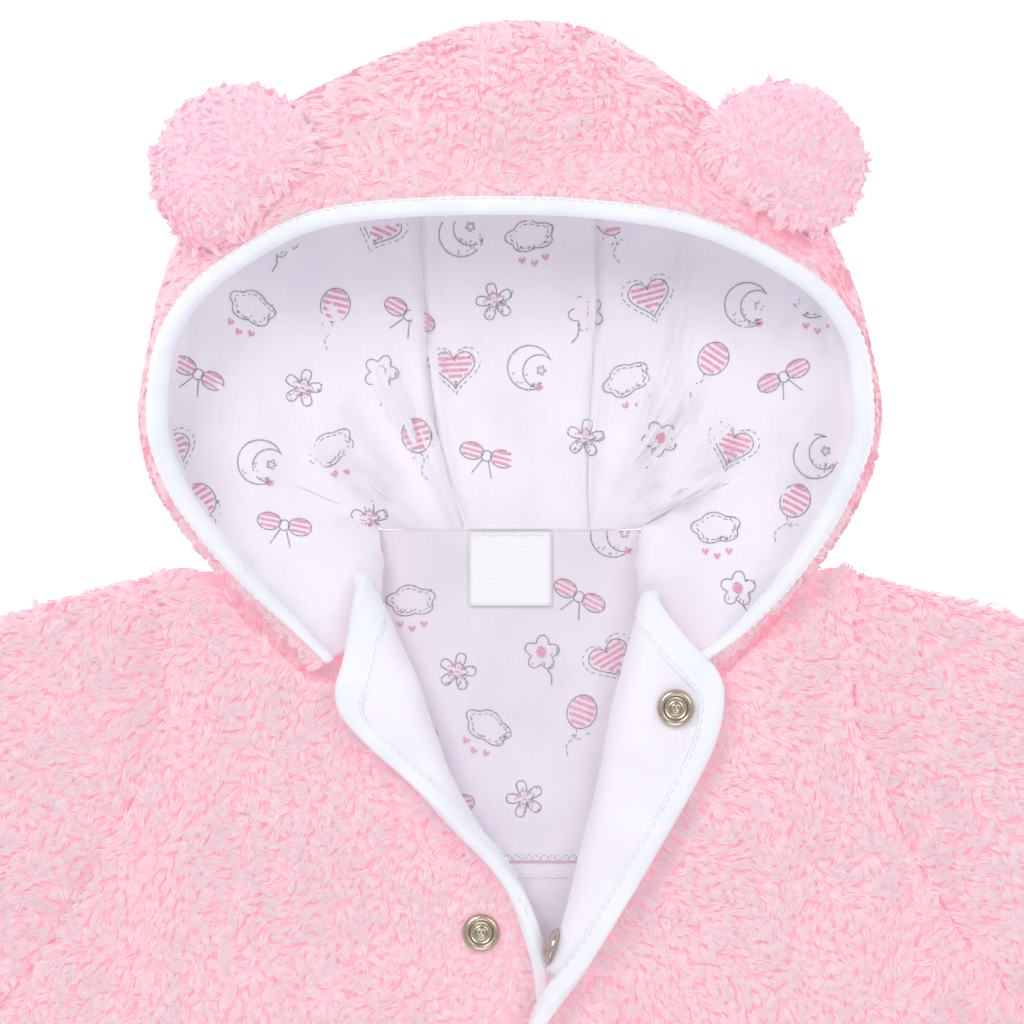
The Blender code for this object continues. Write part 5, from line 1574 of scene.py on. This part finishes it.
def ink_material(name, colour, thin):
    """Pigment ink printed on knit: matt, and broken where the ribs of the cloth leave it thin."""
    material, tree = new_material(name)
    place = add_node(tree, "ShaderNodeTexCoord")
    grain = add_node(tree, "ShaderNodeTexNoise", [("Vector", place.outputs["Object"])], Scale=1800.0, Detail=2.0)
    colours = add_node(tree, "ShaderNodeValToRGB", [("Fac", grain.outputs["Fac"])])
    colours.color_ramp.elements[0].color = linear(colour)
    colours.color_ramp.elements[0].position = 0.4
    colours.color_ramp.elements[1].color = linear(thin)
    colours.color_ramp.elements[1].position = 0.75
    surface = add_node(tree, "ShaderNodeBsdfPrincipled", [("Base Color", colours.outputs[0])], Roughness=0.85)
    add_node(tree, "ShaderNodeOutputMaterial", [("Surface", surface.outputs[0])])
    return material


grey_ink = ink_material("pigment ink on knit, grey", "8F8B97", "D2CDD9")
pink_ink = ink_material("pigment ink on knit, pink", "F09DB8", "F7CBDA")
MOTIF_KINDS = ("cloud", "heart", "star", "balloon", "moon", "flower", "bow")
print_motifs("lining_print", MOTIF_KINDS, 25.0, 7)

# %% [markdown]
# The turned-back corners show their plain cotton facing. It is rolled with the front, so it comes from the same flat
# cloth, moved to the lining side, and it stops under the tape.

# %% The facings


def dress_facing(front, node):
    along, down = front.grid()
    first = len(FLAT_SHARES) - 2
    last_row = next(r for r, d in enumerate(down[:, -1]) if d < 152.0)
    along, down = along[last_row:, first:].copy(), down[last_row:, first:].copy()
    under_tape = 2.2
    left = np.arange(along.shape[1])[::-1]
    along = np.maximum(along, front.free_edge(down) + under_tape * front.slant(down) + 0.15 * left)
    rows_left = np.arange(down.shape[0])[::-1, None]
    top = down[-1].copy()
    down = np.maximum(down, top + under_tape * (left < FLAP_STEPS + ROLL_STEPS // 2 + 1) + 0.15 * rows_left)
    along, down, top = refine(along, 3), refine(down, 3), refine(np.stack([top, top]), 3)[0]
    place = front.rolled(along, down, 0 * along - FACING_GAP - LINING)
    slack = 0.7 * np.clip(noise_field(place.reshape(-1, 3), 12.0, 9)[:, 0], -0.3, 1.0).reshape(along.shape)
    from_edge = (along - front.free_edge(down)) / front.slant(down)
    on_flap = along < front.roll(down)[0] - front.roll(down)[1] / 2
    from_edge = np.minimum(from_edge, np.where(on_flap, 0.75 * (down - top), 20.0))
    rises = ramp(from_edge, TAPE_SHOWS - 0.5, TAPE_SHOWS + 5.0)
    surface = 0.72 + (FACING_GAP + LINING - 0.72 + slack) * rises
    inner = front.rolled(along, down, -surface + 0.55)
    outer = front.rolled(along, down, -surface)
    piece = closed_sheet(f"{node}_cotton", inner, outer, plain_cotton)
    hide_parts(node)


dress_facing(upper, "facing_right")
dress_facing(lower, "facing_left")

# %% [markdown]
# White cotton tape is folded over every free edge. It is a closed strip round the edge's line: one leg on the
# lining, one on the pile, and a rounded fold outside the edge. Its stitches run near the leg's inner side.

# %% The tapes


def front_tape(front, node):
    along, down = front.grid()
    top = np.stack([along[-1], down[-1]], axis=1)[::-1][1 : FLAP_STEPS + ROLL_STEPS // 2 + 1]
    line = np.concatenate([np.stack([along[:, -1], down[:, -1]], axis=1), top])
    knots = np.concatenate([[0.0], np.cumsum(np.linalg.norm(np.diff(line, axis=0), axis=1))])
    at = np.linspace(0, knots[-1], int(knots[-1] / 2.2))
    line = np.stack([through(knots, line[:, k], at) for k in range(2)], axis=1)
    for _ in range(6):
        line[1:-1] = (line[:-2] + 2 * line[1:-1] + line[2:]) / 4
    ahead = np.gradient(line, axis=0)
    ahead /= np.linalg.norm(ahead, axis=1)[:, None]
    inward = np.stack([-ahead[:, 1], ahead[:, 0]], axis=1)
    near_side, far_side = -TAPE_GAP, PLUSH_EDGE + TAPE_GAP + 0.3
    section = (
        (TAPE_SHOWS, near_side - 0.2),
        (TAPE_SHOWS + 0.1, near_side - TAPE),
        (TAPE_SHOWS - 0.7, near_side - TAPE - 0.25),
        (TAPE_SHOWS / 2, near_side - TAPE - 0.35),
        (0.3, near_side - TAPE - 0.2),
        (-TAPE_GAP - 0.5, near_side - 0.1),
        (-TAPE_GAP - TAPE, near_side + 0.9),
        (-TAPE_GAP - TAPE, far_side - 0.7),
        (-TAPE_GAP - 0.4, far_side + 0.4),
        (0.2, far_side + TAPE),
        (TAPE_BEHIND, far_side + TAPE),
        (TAPE_BEHIND, far_side + 0.1),
        (0.0, far_side),
        (-TAPE_GAP, far_side - 0.7),
        (-TAPE_GAP, near_side + 0.7),
        (0.0, near_side),
    )
    rings = []
    for back, off in section:
        place = line + back * inward
        rings.append(front.rolled(place[:, 0], place[:, 1], off + 0 * line[:, 0]))
    piece = swept_tape(f"{node}_tape", np.array(rings).transpose(1, 0, 2), tape_cotton)
    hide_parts(node)
    place = line + (TAPE_SHOWS - 1.0) * inward
    top = front.rolled(place[:, 0], place[:, 1], near_side - TAPE - 0.42 + 0 * line[:, 0])
    print(node, "is", round(knots[-1]), "mm long")
    return top


def hood_tape():
    rim, inward = hood["outside"][:, -1], hood["inward"][:, -1]
    ahead = rim - hood["outside"][:, -2]
    ahead -= inward * np.einsum("ij,ij->i", ahead, inward)[:, None]
    ahead /= np.linalg.norm(ahead, axis=1)[:, None]
    cloth = hood["thick"][:, -1] + LINING_GAP + hood["lining"][:, 0]
    scale = np.maximum(hood["scale"][:, 0], 0.5)
    rings = []
    for back, share, more in (
        (RIM_TAPE_LEG, 0, -GAP),
        (RIM_TAPE_LEG, 0, -GAP - TAPE),
        (1.5, 0, -GAP - TAPE - 0.2),
        (0.0, 0, -GAP - TAPE),
        (-GAP - TAPE, 0, 0.2),
        (-GAP - TAPE - 0.2, 0.5, 0.0),
        (-GAP - TAPE, 1, -0.2),
        (0.0, 1, GAP + TAPE),
        (1.5, 1, GAP + TAPE + 0.2),
        (RIM_TAPE_LEG, 1, GAP + TAPE),
        (RIM_TAPE_LEG, 1, GAP),
        (-GAP + 0.3, 1, GAP),
        (-GAP, 1, 0.0),
        (-GAP, 0, 0.0),
        (-GAP + 0.3, 0, -GAP),
    ):
        leg = back * scale if back > 1 else back + 0 * scale
        rings.append(rim - ahead * leg[:, None] + inward * (share * cloth + more)[:, None])
    piece = swept_tape("hood_binding_tape", np.array(rings).transpose(1, 0, 2), tape_cotton)
    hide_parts("hood_binding")
    line = rim - ahead * (RIM_TAPE_LEG * scale - 0.9)[:, None]
    on_pile = line + inward * (-GAP - TAPE - 0.25)
    in_lining = line + inward * (cloth + GAP + TAPE + 0.25)[:, None]
    return on_pile, in_lining


tape_lines = [front_tape(upper, "binding_right"), front_tape(lower, "binding_left"), *hood_tape()]

# %% [markdown]
# Sewing thread is drawn stitch by stitch. A real lockstitch here is about 2.5 mm long with a small dip between
# stitches, so each one is a short rod that bends down into the cloth at both ends.

# %% The stitches


def thread_material(name, colour):
    """Spun polyester sewing thread, white or tinted, with the low gloss of twisted fibre."""
    material, tree = new_material(name)
    place = add_node(tree, "ShaderNodeTexCoord")
    twist = add_node(tree, "ShaderNodeTexWave", [("Vector", place.outputs["Object"])], Scale=900.0)
    relief = add_node(tree, "ShaderNodeBump", [("Height", twist.outputs["Fac"])], Strength=0.3, Distance=0.0001)
    surface = add_node(
        tree, "ShaderNodeBsdfPrincipled", [("Normal", relief.outputs[0])], Base_Color=linear(colour), Roughness=0.6
    )
    add_node(tree, "ShaderNodeOutputMaterial", [("Surface", surface.outputs[0])])
    return material


white_thread = thread_material("spun polyester thread, white", "FFFFFF")
THREAD = 0.22  # half of its thickness as drawn, so that it shows


def stitch_rods(ends, up):
    """Points and faces of short bent rods, one for each pair of ends, given the way up at each."""
    points, faces = [], []
    for (a, b), n in zip(ends, up):
        way = (b - a) / max(np.linalg.norm(b - a), 1e-6)
        side = np.cross(n, way)
        side = side / max(np.linalg.norm(side), 1e-6)
        for share, lift, size in ((0.0, -0.25, 0.6), (0.18, 0.1, 1.0), (0.82, 0.1, 1.0), (1.0, -0.25, 0.6)):
            middle = a + (b - a) * share + n * lift
            for turn in range(5):
                angle = 2 * math.pi * turn / 5
                points.append(middle + THREAD * size * (math.cos(angle) * side + math.sin(angle) * n))
        first = len(points) - 20
        for ring in range(3):
            for turn in range(5):
                low, high = first + ring * 5, first + ring * 5 + 5
                after = (turn + 1) % 5
                faces.append([low + turn, low + after, high + after, high + turn])
        faces.append([first + k for k in range(5)][::-1])
        faces.append([first + 15 + k for k in range(5)])
    return np.array(points), faces


def stitches_along(line, up, long=2.2, gap=0.7):
    """The ends of stitches along a line of points, and the way up at each."""
    run = np.concatenate([[0.0], np.cumsum(np.linalg.norm(np.diff(line, axis=0), axis=1))])
    starts = np.arange(0.5, run[-1] - long, long + gap)
    place = lambda at: np.stack([np.interp(at, run, line[:, k]) for k in range(3)], axis=1)
    ups = np.stack([np.interp(starts, run, up[:, k]) for k in range(3)], axis=1)
    ups /= np.maximum(np.linalg.norm(ups, axis=1), 1e-6)[:, None]
    return list(zip(place(starts), place(starts + long))), ups


UP = np.array([0.0, 0.0, 1.0])
ends, ups = [], []
for line in tape_lines[:2]:
    level = line[:, 2] > 12.0
    more, way = stitches_along(line[level], np.tile(UP, (int(level.sum()), 1)))
    ends += more
    ups += list(way)
rim_in = hood["inward"][:, -1]
for line, way_up in ((tape_lines[2], -rim_in), (tape_lines[3], rim_in)):
    more, way = stitches_along(line, way_up)
    ends += more
    ups += list(way)
seam_z = LINING_UNDER + LINING + 0.45
for down in (PRINT_DOWN - 2.6, PRINT_DOWN - 0.9, PRINT_DOWN + 4.4):
    line = np.stack([np.linspace(-30, 30, 40), np.full(40, -down), np.full(40, seam_z)], axis=1)
    more, way = stitches_along(line, np.tile([0.0, 0.0, 1.0], (40, 1)), long=2.0, gap=0.8)
    ends += more
    ups += list(way)
zigzag = np.linspace(-30, 30, 56)
for k in range(55):
    a = np.array([zigzag[k], -(PRINT_DOWN - 2.4 + 1.5 * (k % 2)), seam_z])
    b = np.array([zigzag[k + 1], -(PRINT_DOWN - 2.4 + 1.5 * ((k + 1) % 2)), seam_z])
    ends.append((a, b))
    ups.append(np.array([0.0, 0.0, 1.0]))
label_z = LINING_UNDER + LINING + 1.45
line = np.stack([np.linspace(LABEL["left"] + 0.8, LABEL["right"] - 0.8, 20), np.full(20, -LABEL["top"] - 1.0), np.full(20, label_z)], axis=1)
more, way = stitches_along(line, np.tile([0.0, 0.0, 1.0], (20, 1)), long=1.6, gap=0.6)
ends += more
ups += list(way)
points, faces = stitch_rods(ends, ups)
stitches = make_piece("stitches", points, faces, white_thread)
print(len(ends), "stitches")

# %% [markdown]
# The press studs are nickel-plated brass, pressed from sheet: an outer ring, a sunk middle and a post with a ball
# edge. Each is a profile turned round its axis, finer than its solid and in the same place.

# %% The press studs
STUD_LINE = (  # radius and height, from the cloth outside to the post's top
    (5.7, 0.0), (5.75, 0.5), (5.55, 1.0), (5.1, 1.45), (4.6, 1.7), (4.2, 1.72), (3.85, 1.55), (3.6, 1.2), (3.45, 0.7),
    (3.2, 0.5), (2.4, 0.45), (1.9, 0.5), (1.65, 0.8), (1.75, 1.2), (1.6, 1.6), (1.2, 1.85), (0.75, 1.8), (0.55, 1.4),
    (0.0, 1.3),
)
STUD_SIDES = 56


def nickel_material():
    """Nickel-plated brass: a bright metal with a warm grey tint and fine polishing marks that blur its highlights."""
    material, tree = new_material("nickel-plated brass, polished")
    place = add_node(tree, "ShaderNodeTexCoord")
    marks = add_node(tree, "ShaderNodeTexNoise", [("Vector", place.outputs["Object"])], Scale=1500.0, Detail=4.0)
    rough = add_node(tree, "ShaderNodeMapRange", [("Value", marks.outputs["Fac"])])
    rough.inputs["To Min"].default_value = 0.16
    rough.inputs["To Max"].default_value = 0.34
    tarnish = add_node(tree, "ShaderNodeValToRGB", [("Fac", marks.outputs["Fac"])])
    tarnish.color_ramp.elements[0].color = linear("B3A38F")
    tarnish.color_ramp.elements[1].color = linear("E6DBC9")
    links = [("Base Color", tarnish.outputs[0]), ("Roughness", rough.outputs[0])]
    surface = add_node(tree, "ShaderNodeBsdfPrincipled", links, Metallic=1.0)
    add_node(tree, "ShaderNodeOutputMaterial", [("Surface", surface.outputs[0])])
    return material


nickel = nickel_material()


def dress_stud(name):
    """A turned stud on its solid's axis, which is found as the way in which the flat round solid is thinnest."""
    points, triangles = node_mesh(name)
    a, b, c = (points[triangles[:, k]] for k in range(3))
    face = np.cross(b - a, c - a)
    area = np.linalg.norm(face, axis=1)
    spin = np.linalg.eigh(np.cov((points - points.mean(axis=0)).T))[1][:, 0]
    foot = area[np.abs(face @ spin) > 0.98 * area]
    along = points @ spin
    wide = np.array([np.linalg.norm((p - points.mean(axis=0)) - ((p - points.mean(axis=0)) @ spin) * spin) for p in points])
    rim_points = wide > 5.3
    if along[rim_points].mean() > along.mean() and along[~rim_points].mean() < along[rim_points].mean():
        spin = -spin
        along = -along
    low = along.min()
    centre = points[rim_points].mean(axis=0)
    centre = centre + spin * (low - centre @ spin)
    across = np.cross(spin, [0.0, 1.0, 0.0] if abs(spin[1]) < 0.9 else [1.0, 0.0, 0.0])
    across /= np.linalg.norm(across)
    up = np.cross(spin, across)
    made, faces = [centre], []
    for r, h in STUD_LINE[:-1]:
        for k in range(STUD_SIDES):
            angle = 2 * math.pi * k / STUD_SIDES
            made.append(centre + h * spin + r * (math.cos(angle) * across + math.sin(angle) * up))
    made.append(centre + STUD_LINE[-1][1] * spin)
    rings = len(STUD_LINE) - 1
    for k in range(STUD_SIDES):
        after = (k + 1) % STUD_SIDES
        faces.append([0, 1 + after, 1 + k])
        for ring in range(rings - 1):
            first, second = 1 + ring * STUD_SIDES, 1 + (ring + 1) * STUD_SIDES
            faces.append([first + k, first + after, second + after, second + k])
        faces.append([1 + (rings - 1) * STUD_SIDES + k, 1 + (rings - 1) * STUD_SIDES + after, len(made) - 1])
    piece = make_piece(f"{name}_metal", made, turned_out(made, faces), nickel)
    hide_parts(name)


for name in ("stud_lapel", "stud_fold", "stud_front", "stud_lower_1", "stud_lower_2"):
    dress_stud(name)
print("five press studs")

# %% [markdown]
# The solids' box and the dressed coat's box are kept side by side, and the frame closes the scene.

# %% The end
dressed_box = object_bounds()
for key, box in (("solids", solid_box), ("dressed", dressed_box)):
    print(key, [round(float(v), 4) for corner in box for v in corner])
